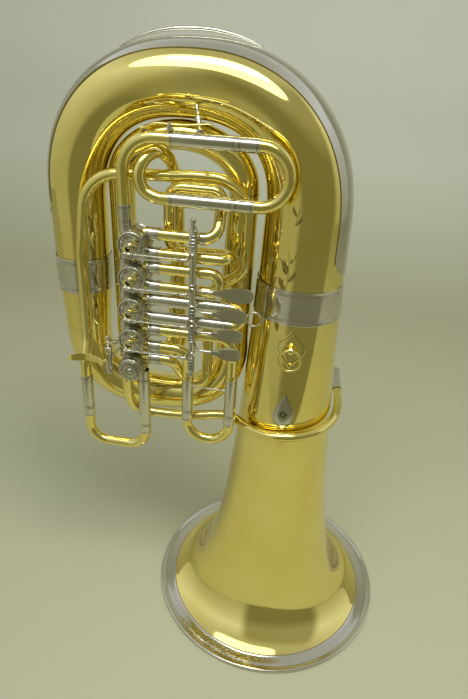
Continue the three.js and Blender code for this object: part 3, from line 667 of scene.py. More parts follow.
plain_tube("left_branch_tube", "left_branch", [
    V(LEFT_X, 0, BOW_FOOT - GAP), V(LEFT_X, 0, 600), V(-357.5, 0, 553 + STUB + GAP)], between(43.2, 38.0),
    sides=64).make()
plain_tube("bottom_bow_tube", "bottom_bow", bow(BOTTOM_BOW, 180, 360, 72), between(37.8, 27.5),
           sides=56).make()
plain_tube("inner_right_tube", "inner_right_branch", [
    V(-102.5, 0, 553 + STUB + 0.75), V(-97, 0, 806 - STUB - 0.75)], between(27.2, 22.6), sides=48).make()
plain_tube("inner_top_bow_tube", "inner_top_bow", bow(INNER_BOW, 0, 180, 56), between(22.5, 20.5),
           sides=48).make()
plain_tube("inner_left_tube", "inner_left_branch", [
    V(-286, 0, 806 - STUB - GAP), V(-286, 0, 680), *bow(INNER_BEND, 180, 360, 40)], between(20.4, 17.4),
    sides=40).make()

# ---- slide neck, inlet and main tuning slide ----
SLIDE_Y = -80
MAIN_Y = -82
MAIN_TOP = 880.5
MAIN_LOW = 802
LEG_R = 8.6
PORT_R = 9.0
SLEEVE_IN = 9.05
SLEEVE_R = 9.9
NECK_X = INNER_BEND[0] + INNER_BEND[2]
VALVE_X, VALVE_LEAN, VALVE_Z, VALVE_PITCH, VALVES = -240.5, 1.95, 736, 51.25, 5
PORT = 14.5

neck = Piece("slide_neck_tube", "slide_neck")
neck.tube([
    V(NECK_X, 0, 551 + STUB + GAP), V(NECK_X, 0, 600), V(NECK_X, 0, 660), V(NECK_X, 0, 720),
    *spline([
        (NECK_X, 0, 770), (NECK_X, -4, 796), (NECK_X, -19, 822), (-201, -39, 847), (-212, -57, 859),
        (-226, -73, 851), (-232, -82, 830), (-225, -82, 811), (-207, -82, 802.5), (-194, -82, 802),
    ], 60),
    V(-188.6, -82, 802),
], lambda share: 9 + 8 * (1 - min(share * 2.2, 1)), BRASS, 0.7, 32)
neck.make()

INLET_X = VALVE_X - PORT
INLET_FOOT = VALVE_Z + VALVE_PITCH / 2
inlet = Piece("slide_inlet_bend", "slide_inlet_tube")
inlet.tube(route([(INLET_X, SLIDE_Y, INLET_FOOT + GAP), (INLET_X - 0.5, MAIN_Y, MAIN_TOP),
                  (-187.5, MAIN_Y, MAIN_TOP)], 46, 20), PORT_R, BRASS, 0.9, 32)
collar(inlet, (INLET_X, SLIDE_Y, INLET_FOOT + GAP), (INLET_X - 0.1, SLIDE_Y - 0.4, 789), 9.7)
inlet.make()


def turned_rod(piece, a, b, knots, look, sides=20):
    """A turned stay between two points: knots are [share of the length, radius]."""
    a, b = Vector(a), Vector(b)
    long = (b - a).length
    piece.lathe([(0, 0), *[(r, share * long) for share, r in knots], (0, long)], look, at=a,
                axis=(b - a).normalized(), sides=sides)


upper = Piece("upper_slide_tube", "upper_slide_sleeve")
outer_sleeve(upper, (-187, MAIN_Y, MAIN_TOP), (-99, MAIN_Y, MAIN_TOP))
upper.box((13, 5, 3), (-150, MAIN_Y + 8.4, MAIN_TOP + 8.5), NICKEL, 0.8)
turned_rod(upper, (-150, MAIN_Y + 8.4, MAIN_TOP + 9), (-161.5, -45.3, 920.3), [
    (0.0, 4.6), (0.06, 4.6), (0.12, 2.7), (0.3, 2.3), (0.42, 3.3), (0.47, 4.4), (0.52, 4.4), (0.57, 3.3),
    (0.68, 2.3), (0.84, 2.4), (0.92, 3.2), (0.97, 3.2), (1.0, 2.6),
], NICKEL)
upper.make()
lower = Piece("lower_slide_tube", "lower_slide_sleeve")
outer_sleeve(lower, (-188, MAIN_Y, MAIN_LOW), (-100, MAIN_Y, MAIN_LOW))
lower.make()
main_slide = Piece("main_tuning_crook", "main_tuning_slide")
main_slide.tube(route([(-170, MAIN_Y, MAIN_TOP), (-27, MAIN_Y, MAIN_TOP), (-27, MAIN_Y, MAIN_LOW),
                       (-171, MAIN_Y, MAIN_LOW)], 38.9, 20), LEG_R, BRASS, 0.8, 32)
collar(main_slide, (-98.4, MAIN_Y, MAIN_TOP), (-68, MAIN_Y, MAIN_TOP), 9.7)
collar(main_slide, (-99.4, MAIN_Y, MAIN_LOW), (-71, MAIN_Y, MAIN_LOW), 9.7)
main_slide.make()

# ---- water key ----
KEY_X = -188
KEY_Z = MAIN_TOP + 15.5
saddle = Piece("water_key_fork", "water_key_saddle")
saddle.box((9, 14, 1.6), (KEY_X, MAIN_Y, MAIN_TOP + 11), NICKEL, 0.5)
for y in (-5, 5):
    saddle.box((5, 2, 9), (KEY_X, MAIN_Y + y, MAIN_TOP + 15.5), NICKEL, 0.7)
saddle.bar([V(KEY_X, MAIN_Y - 6.4, KEY_Z + 1.6), V(KEY_X, MAIN_Y + 6.4, KEY_Z + 1.6)], 1.1, STEEL)
spring = [V(KEY_X + 2.6 * math.cos(t), MAIN_Y - 3.6 + 0.9 * t / math.pi, KEY_Z - 2.4 + 1.0 * math.sin(t))
          for t in circle(56, 3.5)]
saddle.bar(spring, 0.35, STEEL, 6)
saddle.make()
key = Piece("water_key_arm", "water_key_lever")
key_top = spline([(-40, 0, -2.6), (-33, 0, -2.4), (-22, 0, 3.2), (0, 0, 3.7), (20, 0, 3.9), (40, 0, 5.8),
                  (54, 0, 6.9)], 30)
key_foot = spline([(-40, 0, -4.4), (-32, 0, -4.4), (-20, 0, 0.4), (0, 0, 0.8), (20, 0, 1.4), (40, 0, 3.6),
                   (54, 0, 5.2)], 30)
rows = []
for top, foot in zip(key_top, key_foot):
    narrow = 2.1 + math.exp(-(top.x / 9) ** 2) + max(0, (top.x - 20) / 34)
    x, z1, z0 = KEY_X + top.x, KEY_Z + top.z, KEY_Z + foot.z
    mid = (z0 + z1) / 2
    rows.append([V(x, MAIN_Y + narrow * math.cos(t), mid + (z1 - z0) / 2 * math.sin(t))
                 for t in circle(20)])
key.solid(rows, BRASS)
PAD_AT = (KEY_X - 36, MAIN_Y, KEY_Z)
key.lathe([(0, -8.1), (3.4, -8.1), (4.0, -7.4), (4.0, -6.4)], CORK, at=PAD_AT, sides=24)
key.lathe([(4.0, -6.9), (5.0, -6.9), (5.2, -5.0), (4.4, -3.4), (0, -3.2)], BRASS, at=PAD_AT, sides=28)
key.make()

# ---- valves ----
CASING_FRONT, CASING_BACK = -97.0, -58.0
ROTOR_R = 17.4
ROD_Y = -122
CRANK_R = 5.65
CRANK_REST = math.radians(25)
SLEEVE_END = [-204, -204, -104, -204, -204]
TOWARDS_PLAYER = (0, -1, 0)
KNURLS = 64


def valve_x(i):
    return VALVE_X - VALVE_LEAN * i


def valve_z(i):
    return VALVE_Z - VALVE_PITCH * i


def lathe_y(piece, base, profile, look, x, z, sides=48, closed=False):
    """A turned piece about an axis along y; the profile's second number is y from base."""
    piece.lathe([(r, -(base + y), *rest) for r, y, *rest in profile], look, at=(x, 0, z),
                axis=TOWARDS_PLAYER, sides=sides, closed=closed)


def casing(i):
    x, z = valve_x(i), valve_z(i)
    made = Piece(f"valve_body_{i + 1}", f"valve_casing_{i + 1}", slot="nickel_silver")
    lathe_y(made, 0, [
        (18.0, CASING_FRONT), (20.6, CASING_FRONT), (21, CASING_FRONT + 0.6), (21, CASING_FRONT + 4),
        (20.4, CASING_FRONT + 4.6, ENGRAVING_AND_SLOT_SHADE), (20.4, CASING_FRONT + 5.2), (20.8, CASING_FRONT + 5.8),
        (20.8, CASING_BACK - 6), (20.3, CASING_BACK - 5.4, ENGRAVING_AND_SLOT_SHADE), (20.3, CASING_BACK - 4.8),
        (21, CASING_BACK - 4.2), (21, CASING_BACK - 0.8), (20, CASING_BACK), (4.4, CASING_BACK),
        (4.4, CASING_BACK - 3), (18.0, CASING_BACK - 3),
    ], SPUN, x, z, 64, closed=True)
    top, foot = z + VALVE_PITCH / 2 - GAP, z - VALVE_PITCH / 2 + GAP
    made.tube([V(x - PORT, SLIDE_Y, z + 13), V(x - PORT, SLIDE_Y, top)], PORT_R, NICKEL, 1.0, 28)
    made.tube([V(x - PORT, SLIDE_Y, z - 13), V(x - PORT, SLIDE_Y, foot)], PORT_R, NICKEL, 1.0, 28)
    for level in ([PORT] if i == VALVES - 1 else [PORT, -PORT]):
        made.tube([V(x + 14, SLIDE_Y, z + level), V(-222.6, SLIDE_Y, z + level)], 8.7, BRASS, 0.8, 28)
        collar(made, (-223, SLIDE_Y, z + level), (SLEEVE_END[i], SLIDE_Y, z + level), SLEEVE_R,
               inner=SLEEVE_IN, pairs=2, inset_by=2.0)
    if i == VALVES - 1:
        collar(made, (x + PORT, SLIDE_Y, z - 28), (x + PORT, SLIDE_Y, z - 10), PORT_R, inner=8.0)
    made.make()


def rotor(i):
    x, z = valve_x(i), valve_z(i)
    fifth = i == VALVES - 1
    back, front = CASING_BACK - 3 - GAP, CASING_FRONT + GAP
    made = Piece(f"rotor_and_crank_{i + 1}", f"rotor_{i + 1}")
    lathe_y(made, 0, [(0, back), (ROTOR_R - 0.5, back), (ROTOR_R, back - 0.6), (ROTOR_R, front + 0.6),
                      (ROTOR_R - 0.5, front), (0, front)], BRASS, x, z, 40)
    pin_x = x - CRANK_R * math.sin(CRANK_REST)
    pin_z = z - CRANK_R * math.cos(CRANK_REST) * (-1 if fifth else 1)
    step = -3 if fifth else 3
    tip = CASING_BACK + 7 if fifth else ROD_Y + 7.5
    root = back - 2 if fifth else front + 2
    lathe_y(made, 0, [(0, root), (3.8, root), (3.8, tip), (0, tip)], BRASS, x, z, 24)
    middle = ((pin_x + x) / 2, (pin_z + z) / 2)
    web = [(0, 0), (5.6, 0), (6.6, 0.15), (6.9, 0.4), (6.9, 0.7), (6.4, 0.95), (0, 1)]
    pin = [(0, 0.5), (1.9, 0.5), (1.9, -1), (1.4, -1.2), (0, -1.2)]
    lathe_y(made, tip, [(r, share * step) for r, share in web], BRASS, *middle, 32)
    lathe_y(made, tip, [(r, share * step) for r, share in pin], NICKEL, pin_x, pin_z, 16)
    if not fifth:
        # the centre screw and its slot, and the stop arm that swings between the bumpers
        screw_x, screw_z = x + 1.6, z + 2.6
        lathe_y(made, tip, [(0, 0.4), (3.1, 0.4), (3.1, -0.5), (2.6, -0.9), (0, -0.9)], NICKEL,
                screw_x, screw_z, 24)
        # the slot is no cut: a near-black strip on the screw head stands for it, painted shade
        made.box((4.6, 0.4, 0.6), (screw_x, tip - 0.92, screw_z), ENGRAVING_AND_SLOT_SHADE, 0.1)
        arm = Matrix.Rotation(math.radians(-35), 3, "Y")
        made.box((15.5, 1.6, 4.2), V(x, CASING_FRONT - 9.4, z) + arm @ V(5.8, 0, 0), BRASS, 0.6, turn=arm)
        lathe_y(made, CASING_FRONT, [(0, -8), (5.2, -8), (5.6, -9), (5.6, -11), (5.0, -11.6), (0, -11.6)],
                BRASS, x, z, 32)
    made.make()


def cap(i):
    x, z = valve_x(i), valve_z(i)
    face = CASING_FRONT - GAP
    made = Piece(f"valve_cap_face_{i + 1}", f"valve_cap_{i + 1}")
    lathe_y(made, face, [
        (4.4, 0), (20.5, 0), (20.5, -3.6), (20.1, -4.6), (19.4, -5.3),
        (18.2, -5.5), (17.5, -5.3), (17.1, -4.2, ENGRAVING_AND_SLOT_SHADE), (16.6, -4.0),
        (15.8, -4.4), (12.4, -4.4), (12.0, -4.1, ENGRAVING_AND_SLOT_SHADE), (11.5, -4.1),
        (11.1, -4.4), (9.6, -4.4), (9.1, -5.1), (7.4, -5.5), (4.4, -5.5),
    ], SPUN, x, z, 64, closed=True)
    # raised spokes between the hub and the rim, and the two bumpers of the stop arm
    for k in range(10):
        angle = 2 * math.pi * (k + 0.5) / 10
        turn = Matrix.Rotation(-angle, 3, "Y")
        made.box((5.6, 0.9, 1.7), V(x, face - 4.6, z) + turn @ V(13.4, 0, 0), NICKEL, 0.3, turn=turn)
    for angle in (math.radians(2), math.radians(118)):
        made.bar([V(x + 14.6 * math.cos(angle), face - 4, z + 14.6 * math.sin(angle)),
                  V(x + 14.6 * math.cos(angle), face - 9, z + 14.6 * math.sin(angle))], 2.0, BUMPER, 14)
    made.make()


def fifth_cap():
    x, z = valve_x(4), valve_z(4)
    face = CASING_FRONT - GAP
    made = Piece("valve_cap_face_5", "knurled_cap_5")
    # a cap with a ribbed edge: the ring of ribs is one skin whose radius rises and falls
    rows = []
    for y, base, depth in ((0, 19.8, 0.0), (-0.8, 20.2, 0.3), (-6.4, 20.2, 0.3), (-7.4, 19.4, 0.1),
                           (-8.4, 18.6, 0.0), (-9.0, 17.2, 0.0)):
        radii = [base - depth, base + depth] * KNURLS
        rows.append([V(x + r * math.cos(t), face + y, z + r * math.sin(t))
                     for r, t in zip(radii, circle(2 * KNURLS))])
    made.solid(rows, SPUN)
    lathe_y(made, face, [
        (0, -8.8), (16.8, -8.8), (16.4, -9.3), (12.6, -9.5), (12.2, -9.2, ENGRAVING_AND_SLOT_SHADE), (11.6, -9.2),
        (11.2, -9.5), (6.6, -9.6), (6.2, -9.4, ENGRAVING_AND_SLOT_SHADE), (5.6, -9.4), (5.0, -10.4), (4.2, -11.9),
        (2.4, -12.8), (0, -13),
    ], SPUN, x, z, 48)
    for angle in circle(12):
        turn = Matrix.Rotation(-angle, 3, "Y")
        made.box((3.4, 0.5, 0.9), V(x, face - 9.4, z) + turn @ V(14.4, 0, 0), ENGRAVING_AND_SLOT_SHADE, 0.1, turn=turn)
    made.make()


for i in range(VALVES):
    casing(i)
    rotor(i)
    if i < 4:
        cap(i)
fifth_cap()

# ---- valve tubing ----
SLIDE_START = -221.5
V1, V4, V5 = valve_z(0), valve_z(3), valve_z(4)
first_loop = plain_tube("first_valve_tubing", "first_valve_loop", route([
    (SLIDE_START, SLIDE_Y, V1 + PORT), (-120, SLIDE_Y, V1 + PORT), (-121, -54, 790), (-121, -54, 813),
    (-197, -54, 813), (-197, -54, V1 - PORT - 2), (-104, -54, V1 - PORT), (-104, SLIDE_Y, V1 - PORT),
    (SLIDE_START, SLIDE_Y, V1 - PORT),
], [20, 9, 14, 20, 20, 12.9, 12.9]), LEG_R, wall=0.8, sides=28)
collar(first_loop, (-144, SLIDE_Y, V1 + PORT), (-136, SLIDE_Y, V1 + PORT), 9.4, pairs=1, inset_by=2)
first_loop.make()


def valve_slide(name, node_name, i, start, end):
    corners = [(x, SLIDE_Y, valve_z(i) + level)
               for x, level in ((start, PORT), (end, PORT), (end, -PORT), (start, -PORT))]
    return plain_tube(name, node_name, route(corners, PORT - 0.05, 14), LEG_R, SLIDE_BRASS, 0.8, 28)


def hanging_slide(name, node_name, y, left, right, foot, bend):
    """A U of tube that hangs from two sleeves; left and right are [x, height of the leg's end]."""
    corners = [(left[0], y, left[1]), (left[0], y, foot), (right[0], y, foot), (right[0], y, right[1])]
    return plain_tube(name, node_name, route(corners, bend, 18), LEG_R, BRASS, 0.8, 32)


valve_slide("second_slide_crook", "second_valve_slide", 1, SLIDE_START, -115).make()
third = valve_slide("third_slide_crook", "third_valve_slide", 2, -165, -79)
for level in (PORT, -PORT):
    collar(third, (-103.5, SLIDE_Y, valve_z(2) + level), (-94.2, SLIDE_Y, valve_z(2) + level), 9.6, pairs=1,
           inset_by=2)
third.make()


def socket(low, bevel):
    """The collar that joins a tube to its slide's outer sleeve, from low up to 0."""
    bore = LEG_R - 0.4
    return [(bore, low), (SLEEVE_R, low), (SLEEVE_R, bevel), (SLEEVE_R - 0.5, 0), (bore, 0)]


FOUR_Y, FOUR_LEFT, FOUR_RIGHT = -74, -161.5, -89.5
fourth = Piece("fourth_valve_tubing", "fourth_valve_tubes")
for x, z, top in ((FOUR_RIGHT, V4 + PORT, 529), (FOUR_LEFT, V4 - PORT, 519)):
    line = [(SLIDE_START, SLIDE_Y, z), (x, SLIDE_Y, z), (x, FOUR_Y, z - 40), (x, FOUR_Y, top - 6)]
    fourth.tube(route(line, [22, 20]), LEG_R, BRASS, 0.8, 28)
    fourth.lathe(socket(-8, -1.6), BRASS, at=(x, FOUR_Y, top), sides=32, closed=True)
    outer_sleeve(fourth, (x, FOUR_Y, 450), (x, FOUR_Y, top - 7.8))
turned_rod(fourth, (FOUR_LEFT + 9.4, FOUR_Y, 497), (FOUR_RIGHT - 9.4, FOUR_Y, 497), [
    (0, 3.2), (0.05, 3.2), (0.1, 1.4), (0.42, 1.2), (0.47, 2.2), (0.53, 2.2), (0.58, 1.2), (0.9, 1.4),
    (0.95, 3.2), (1, 3.2)], NICKEL)
fourth.make()
fourth_slide = hanging_slide("fourth_slide_crook", "fourth_valve_slide", FOUR_Y, (FOUR_LEFT, 500),
                             (FOUR_RIGHT, 500), 395, 34)
for x in (FOUR_LEFT, FOUR_RIGHT):
    collar(fourth_slide, (x, FOUR_Y, 431), (x, FOUR_Y, 449.4), 9.7)
fourth_slide.make()

FIVE_LEFT = -334
FIVE_RIGHT = valve_x(4) + PORT
fifth = Piece("fifth_valve_tubing", "fifth_valve_loop")
fifth.tube(route([
    (SLIDE_START, SLIDE_Y, V5 + PORT), (-186, SLIDE_Y, V5 + PORT), (-166, -46, 487), (-136, -43, 489),
    (-137, -36, 655), (-84, -33, 690), (-85, -33, 826), (-168, -37, 826), (-204, -49, 826), (-322, -52, 822),
    (-338, -53, 700), (-337, -56, 556), (FIVE_LEFT, SLIDE_Y, 519), (FIVE_LEFT, SLIDE_Y, 489),
], [13, 15, 15, 30, 30, 55, 40, 40, 58, 60, 40, 24], 10), LEG_R, BRASS, 0.8, 28)
fifth.lathe(socket(-9, -2), NICKEL, at=(FIVE_LEFT, SLIDE_Y, 496), sides=32, closed=True)
outer_sleeve(fifth, (FIVE_LEFT, SLIDE_Y, 434), (FIVE_LEFT, SLIDE_Y, 487.6))
fifth.make()
fifth_sleeve = Piece("fifth_slide_tube", "fifth_slide_sleeve")
outer_sleeve(fifth_sleeve, (FIVE_RIGHT, SLIDE_Y, 413), (FIVE_RIGHT, SLIDE_Y, V5 - 28.4))
fifth_sleeve.make()
fifth_slide = hanging_slide("fifth_slide_crook", "fifth_valve_slide", SLIDE_Y, (FIVE_LEFT, 484),
                            (FIVE_RIGHT, 470), 364, 32)
collar(fifth_slide, (FIVE_LEFT, SLIDE_Y, 416), (FIVE_LEFT, SLIDE_Y, 433.4), 9.7)
collar(fifth_slide, (FIVE_RIGHT, SLIDE_Y, 395.5), (FIVE_RIGHT, SLIDE_Y, 412.4), 9.7)
fifth_slide.make()

# ---- leadpipe and mouthpiece receiver ----
LEAD_X = valve_x(4) - PORT
lead = Piece("leadpipe_tube", "leadpipe")
lead.tube([
    V(LEAD_X, SLIDE_Y, V5 - VALVE_PITCH / 2 - GAP),
    *spline([
        (LEAD_X + 0.3, SLIDE_Y, 488), (LEAD_X + 1, -77, 462), (-255, -68, 438), (-236, -59, 425),
        (-205, -56, 422), (-150, -54, 426), (-112, -49, 430), (-90, -50, 431), (-72, -59, 428.5),
        (-50, -75, 429), (-20, -90, 432),
        (18, -91, 436), (58, -72, 439), (83, -38, 444), (91, 0, 450), (89, 40, 456),
    ], 110),
], lambda share: 8.6 - 1.5 * share, BRASS, 0.9, 28)
lead.make()
receiver_line = spline([(89, 41, 456.2), (86.5, 62, 459), (83.5, 96, 463.5)], 14)
receiver = Piece("receiver_cup", "mouthpiece_receiver")
receiver.tube(receiver_line, lambda share: 8.3 + 0.6 * share + (0.6 if share > 0.86 or share < 0.06 else 0),
              NICKEL, 2.2, 36)
receiver.make()

# ---- paddles, axle and linkage ----
AXLE_X, AXLE_Y, AXLE_R = -151, -98, 3.0
PAD_Y, PAD_START = -122, -122
PADDLE_Z = [688, 655.5, 623.5, 593]
PADDLE_TIP = [-58, -66, -70, -71]
HUBS = []
for i in range(4):
    rod_z = valve_z(i) - CRANK_R * math.cos(CRANK_REST)
    HUBS.append((min(PADDLE_Z[i], rod_z) - 3.5, max(PADDLE_Z[i], rod_z) + 3.2))

axle = Piece("paddle_axle_rail", "paddle_axle")
axle.lathe([(0, 535), (AXLE_R, 535), (AXLE_R, 777), (0, 777)], STEEL, at=(AXLE_X, AXLE_Y, 0), sides=20)
axle.lathe([(0, 529.6), (1.6, 529.9), (3.6, 531.6), (4.4, 534), (3.6, 536.6), (3.4, 538), (3.4, 540),
            (0, 540)], NICKEL, at=(AXLE_X, AXLE_Y, 0), sides=28)
axle.lathe([(0, 772), (3.6, 772), (3.6, 775), (4.6, 779), (3.7, 782), (1.7, 783.3), (0, 783.6)],
           NICKEL, at=(AXLE_X, AXLE_Y, 0), sides=28)
for z, high in ((767, 8), (562.5, 6)):
    axle.box((9, 9, high), (AXLE_X, AXLE_Y + 3.2, z), NICKEL, 1.2)
# the upright plate that holds the top of the axle, with its slot and two screws
axle.box((12.5, 5.6, 32), (AXLE_X + 0.5, AXLE_Y - 0.6, 751), NICKEL, 1.0)
# the slot is no cut either: a near-black strip on the plate's face, painted shade
axle.box((3.0, 0.5, 11), (AXLE_X + 0.5, AXLE_Y - 3.35, 748), ENGRAVING_AND_SLOT_SHADE, 0.1)
for z in (740.5, 761.5):
    axle.lathe([(0, 0), (2.0, 0), (2.0, 0.9), (1.3, 1.4), (0, 1.5)], STEEL, at=(AXLE_X, AXLE_Y - 3.3, z),
               axis=(0, -1, 0), sides=20)
free = sorted(HUBS)
spans = [(540, free[0][0]), *[(a[1], b[0]) for a, b in zip(free, free[1:])], (free[-1][1], 762)]
for low, high in spans:
    if high - low < 6:
        continue
    low, high = low + 1.2, min(high - 1.2, low + 26)
    turns = int((high - low) / 2.3)
    axle.bar([V(AXLE_X + 4.6 * math.cos(t), AXLE_Y + 4.6 * math.sin(t),
                low + (high - low) * t / (2 * math.pi * turns))
              for t in circle(14 * turns, turns) + [2 * math.pi * turns]], 0.85, STEEL, 6)
axle.make()


def paddle_outline(length, steps=14):
    """The spoon's outline from its root to its tip and back, as [along, across]."""
    half = bezier_outline((0, 2.6), [((0.3, 3.0), (0.4, 10.6), (0.72, 11)),
                                     ((0.95, 11), (1, 6), (1, 0))], steps)
    half.append((1, 0))
    upper = [(a * length, b) for a, b in half]
    return upper + [(a, -b) for a, b in reversed(upper[:-1])]


def paddle(i):
    z = PADDLE_Z[i]
    rod_z = valve_z(i) - CRANK_R * math.cos(CRANK_REST)
    low, high = HUBS[i]
    made = Piece(f"paddle_key_{i + 1}", f"paddle_{i + 1}")
    made.lathe([
        (AXLE_R + 0.25, low), (5.4, low), (6.0, low + 0.6), (6.0, low + 2.6), (5.1, low + 3.4),
        (5.1, high - 3.4), (6.0, high - 2.6), (6.0, high - 0.6), (5.4, high), (AXLE_R + 0.25, high),
    ], NICKEL, at=(AXLE_X, AXLE_Y, 0), sides=36, closed=True)
    arm = [(AXLE_X + 4.5, AXLE_Y - 1, z), (AXLE_X + 13, PAD_Y, z), (PAD_START + 6, PAD_Y, z)]
    made.bar(route(arm, 12, 8), between(2.6, 1.9), NICKEL, 16)
    # the spoon is dished: its middle lies a little further from the player than its edge
    length = PADDLE_TIP[i] - PAD_START
    outline = paddle_outline(length)
    rows = []
    centre = 0.62 * length
    shrinks = [1.0, 0.985, 0.9, 0.75, 0.55, 0.35, 0.15]
    for face_y, order in ((-0.9, shrinks[::-1]), (0.9, shrinks)):
        for s in order:
            dish = 0.8 * (1 - s * s)
            lip = 0.35 if s == 1.0 else 0.0
            y = PAD_Y + face_y + dish - math.copysign(lip, face_y)
            rows.append([V(PAD_START + centre + (a - centre) * s, y, z + b * s) for a, b in outline])
    made.solid(rows, NICKEL)
    made.bar([V(AXLE_X - 1, AXLE_Y - 4.5, rod_z), V(AXLE_X - 3.8, ROD_Y + 3.4, rod_z)], 2.3, NICKEL, 16)
    made.make()


def rod_left(i):
    return valve_x(i) - CRANK_R * math.sin(CRANK_REST)


def linkage(piece, left, right, thin, ball_r):
    """A rod with a ball joint, a neck and a lock nut at each end."""
    along = (right - left).normalized()
    piece.bar([left + along * 2, right - along * 2], thin, STEEL, 16)
    for end, direction in ((left, along), (right, -along)):
        piece.ball(ball_r, end, NICKEL, 20)
        piece.lathe([(0, ball_r * 0.7), (2.0, ball_r * 0.7), (2.2, 4.0), (2.2, 8.5), (1.8, 9.2), (0, 9.2)],
                    NICKEL, at=end, axis=direction, sides=16)
        piece.lathe([(0, 10.0), (2.6, 10.0), (2.6, 12.0), (0, 12.0)], STEEL, at=end, axis=direction, sides=6)


def linkage_rod(i):
    z = valve_z(i) - CRANK_R * math.cos(CRANK_REST)
    made = Piece(f"linkage_{i + 1}", f"linkage_rod_{i + 1}")
    linkage(made, V(rod_left(i), ROD_Y, z), V(AXLE_X - 3.8, ROD_Y, z), 1.3, 3.1)
    made.make()


for i in range(4):
    paddle(i)
    linkage_rod(i)

# ---- thumb lever ----
THUMB_X, THUMB_Y = -287, -94
LEVER_TIP_Y = -43.5
CRANK5_Z = V5 + CRANK_R * math.cos(CRANK_REST)
bracket = Piece("thumb_bracket", "thumb_lever_bracket")
bracket.lathe([(0, 512.8), (1.6, 513.2), (3.6, 514.6), (4.2, 517), (3.2, 519.6), (2.6, 520.4), (2.6, 575.6),
               (3.2, 576.4), (4.2, 579), (3.6, 581.4), (1.6, 582.8), (0, 583.2)], NICKEL,
              at=(THUMB_X, THUMB_Y, 0), sides=28)
for z in (520.6, 572):
    bracket.torus(3.0, 1.1, (THUMB_X, THUMB_Y, z), (0, 0, 1), NICKEL, 28, 10)
bracket.box((14.5, 9, 5), (THUMB_X + 7.2, THUMB_Y + 3.5, 571), NICKEL, 0.9)
bracket.make()

thumb = Piece("thumb_touch", "thumb_lever")
thumb.lathe([(2.9, 524), (5.4, 524), (6.0, 524.6), (6.0, 528), (5.2, 529), (5.2, 559), (6.0, 560),
             (6.0, 563.4), (5.4, 564), (2.9, 564)], NICKEL, at=(THUMB_X, THUMB_Y, 0), sides=36, closed=True)
LEVER_CENTRE = V(-322, -138, 541)
blade = []
for k in range(33):
    share = k / 32
    angle = math.radians(134 - 91 * share)
    half = 7.5 * math.sqrt(max(0.05, 1 - (2 * max(0.0, 0.35 - share) / 0.7) ** 2)) * (1 - 0.3 * share)
    inner = LEVER_CENTRE + V(math.cos(angle), math.sin(angle), 0) * 39.2
    outer = LEVER_CENTRE + V(math.cos(angle), math.sin(angle), 0) * 41.2
    middle = inner.lerp(outer, 0.5)
    blade.append([at + V(0, 0, z) for at, z in (
        (inner, 0.4 - half), (inner, half - 0.4), (middle, half), (outer, half - 0.4), (outer, 0.4 - half),
        (middle, -half))])
thumb.solid(blade, BRASS)
thumb.bar([V(-293.5, -107.5, 541), V(-289.5, -101, 541)], 3.2, BRASS, 16)
thumb.bar([V(THUMB_X, THUMB_Y + 4.5, CRANK5_Z), V(THUMB_X, LEVER_TIP_Y - 3.4, CRANK5_Z)], 2.2, NICKEL, 16)
thumb.make()
thumb_link = Piece("thumb_linkage", "thumb_rod")
linkage(thumb_link, V(THUMB_X, LEVER_TIP_Y, CRANK5_Z), V(rod_left(4), LEVER_TIP_Y, CRANK5_Z), 1.25, 2.6)
thumb_link.make()

# ---- fittings on the bell ----
ring_piece = Piece("thumb_rest_ring", "thumb_ring")
ring_piece.torus(11, 1.5, (-59, -90, 639.5), (0, 1, 0), NICKEL, 56, 14)
ring_piece.bar([V(-48.2, -90, 637.5), V(-36.3, -62, 632)], 1.7, NICKEL, 14)
ring_piece.make()


def on_bell(z_centre, radius):
    """Lays a flat outline on the bell: across wraps round it, along runs up it."""
    lean = -5.0 / 90

    def place(a, b, height):
        r = radius + 2.4 + lean * b + height
        angle = a / radius
        return V(r * math.sin(angle), -r * math.cos(angle), z_centre + b)

    return place


KITE = bezier_outline((0, 36), [((5, 18), (22, 14), (22, 0)), ((22, -12), (6, -20), (0, -34)),
                                ((-6, -20), (-22, -12), (-22, 0)), ((-22, 14), (-5, 18), (0, 36))])
TEARDROP = bezier_outline((0, 36), [((3, 22), (16, 12), (16, -8)), ((16, -22), (8, -28), (0, -33)),
                                    ((-8, -28), (-16, -22), (-16, -8)), ((-16, 12), (-3, 22), (0, 36))])


def bell_plate(piece, outline, place, look):
    """A thin plate with a softened edge, an engraved border and a slightly raised middle."""
    rows, looks = [], []
    for shrink, height, row_look in ((0.0, -0.3, look), (0.0, 1.0, look), (0.04, 1.35, look),
                                     (0.10, 1.4, ENGRAVING_AND_SLOT_SHADE), (0.135, 1.25, look), (0.17, 1.4, look),
                                     (0.5, 1.55, look), (0.85, 1.6, look)):
        rows.append([place(a * (1 - shrink), b * (1 - shrink), height) for a, b in outline])
        looks.append(row_look)
    piece.solid(rows, looks, look)


LUG_Y, LUG_Z, STRAP_R, STRAP_TILT = -82, 590, 17, math.radians(4)
strap_plate = Piece("strap_plate", "strap_ring_plate")
bell_plate(strap_plate, KITE, on_bell(588, 69.6), BRASS)
strap_plate.box((6.2, 9.4, 6.6), (0, LUG_Y + 8.4, LUG_Z), BRASS, 1.2)
strap_plate.lathe([(3.4, -3.1), (4.9, -3.1), (5.5, -2.4), (5.5, 2.4), (4.9, 3.1), (3.4, 3.1)], BRASS,
                  at=(0, LUG_Y, LUG_Z), axis=(1, 0, 0), sides=32, closed=True)
strap_plate.make()
drop = V(0, -math.sin(STRAP_TILT), -math.cos(STRAP_TILT)) * STRAP_R
strap = Piece("strap_carrying_ring", "strap_ring")
strap.torus(STRAP_R, 1.9, (0, LUG_Y + drop.y, LUG_Z + drop.z),
            (0, -math.cos(STRAP_TILT), math.sin(STRAP_TILT)), BRASS, 72, 16)
strap.make()

badge = Piece("badge_teardrop", "badge_plate")
place_badge = on_bell(474, 76.6)
bell_plate(badge, TEARDROP, place_badge, NICKEL)
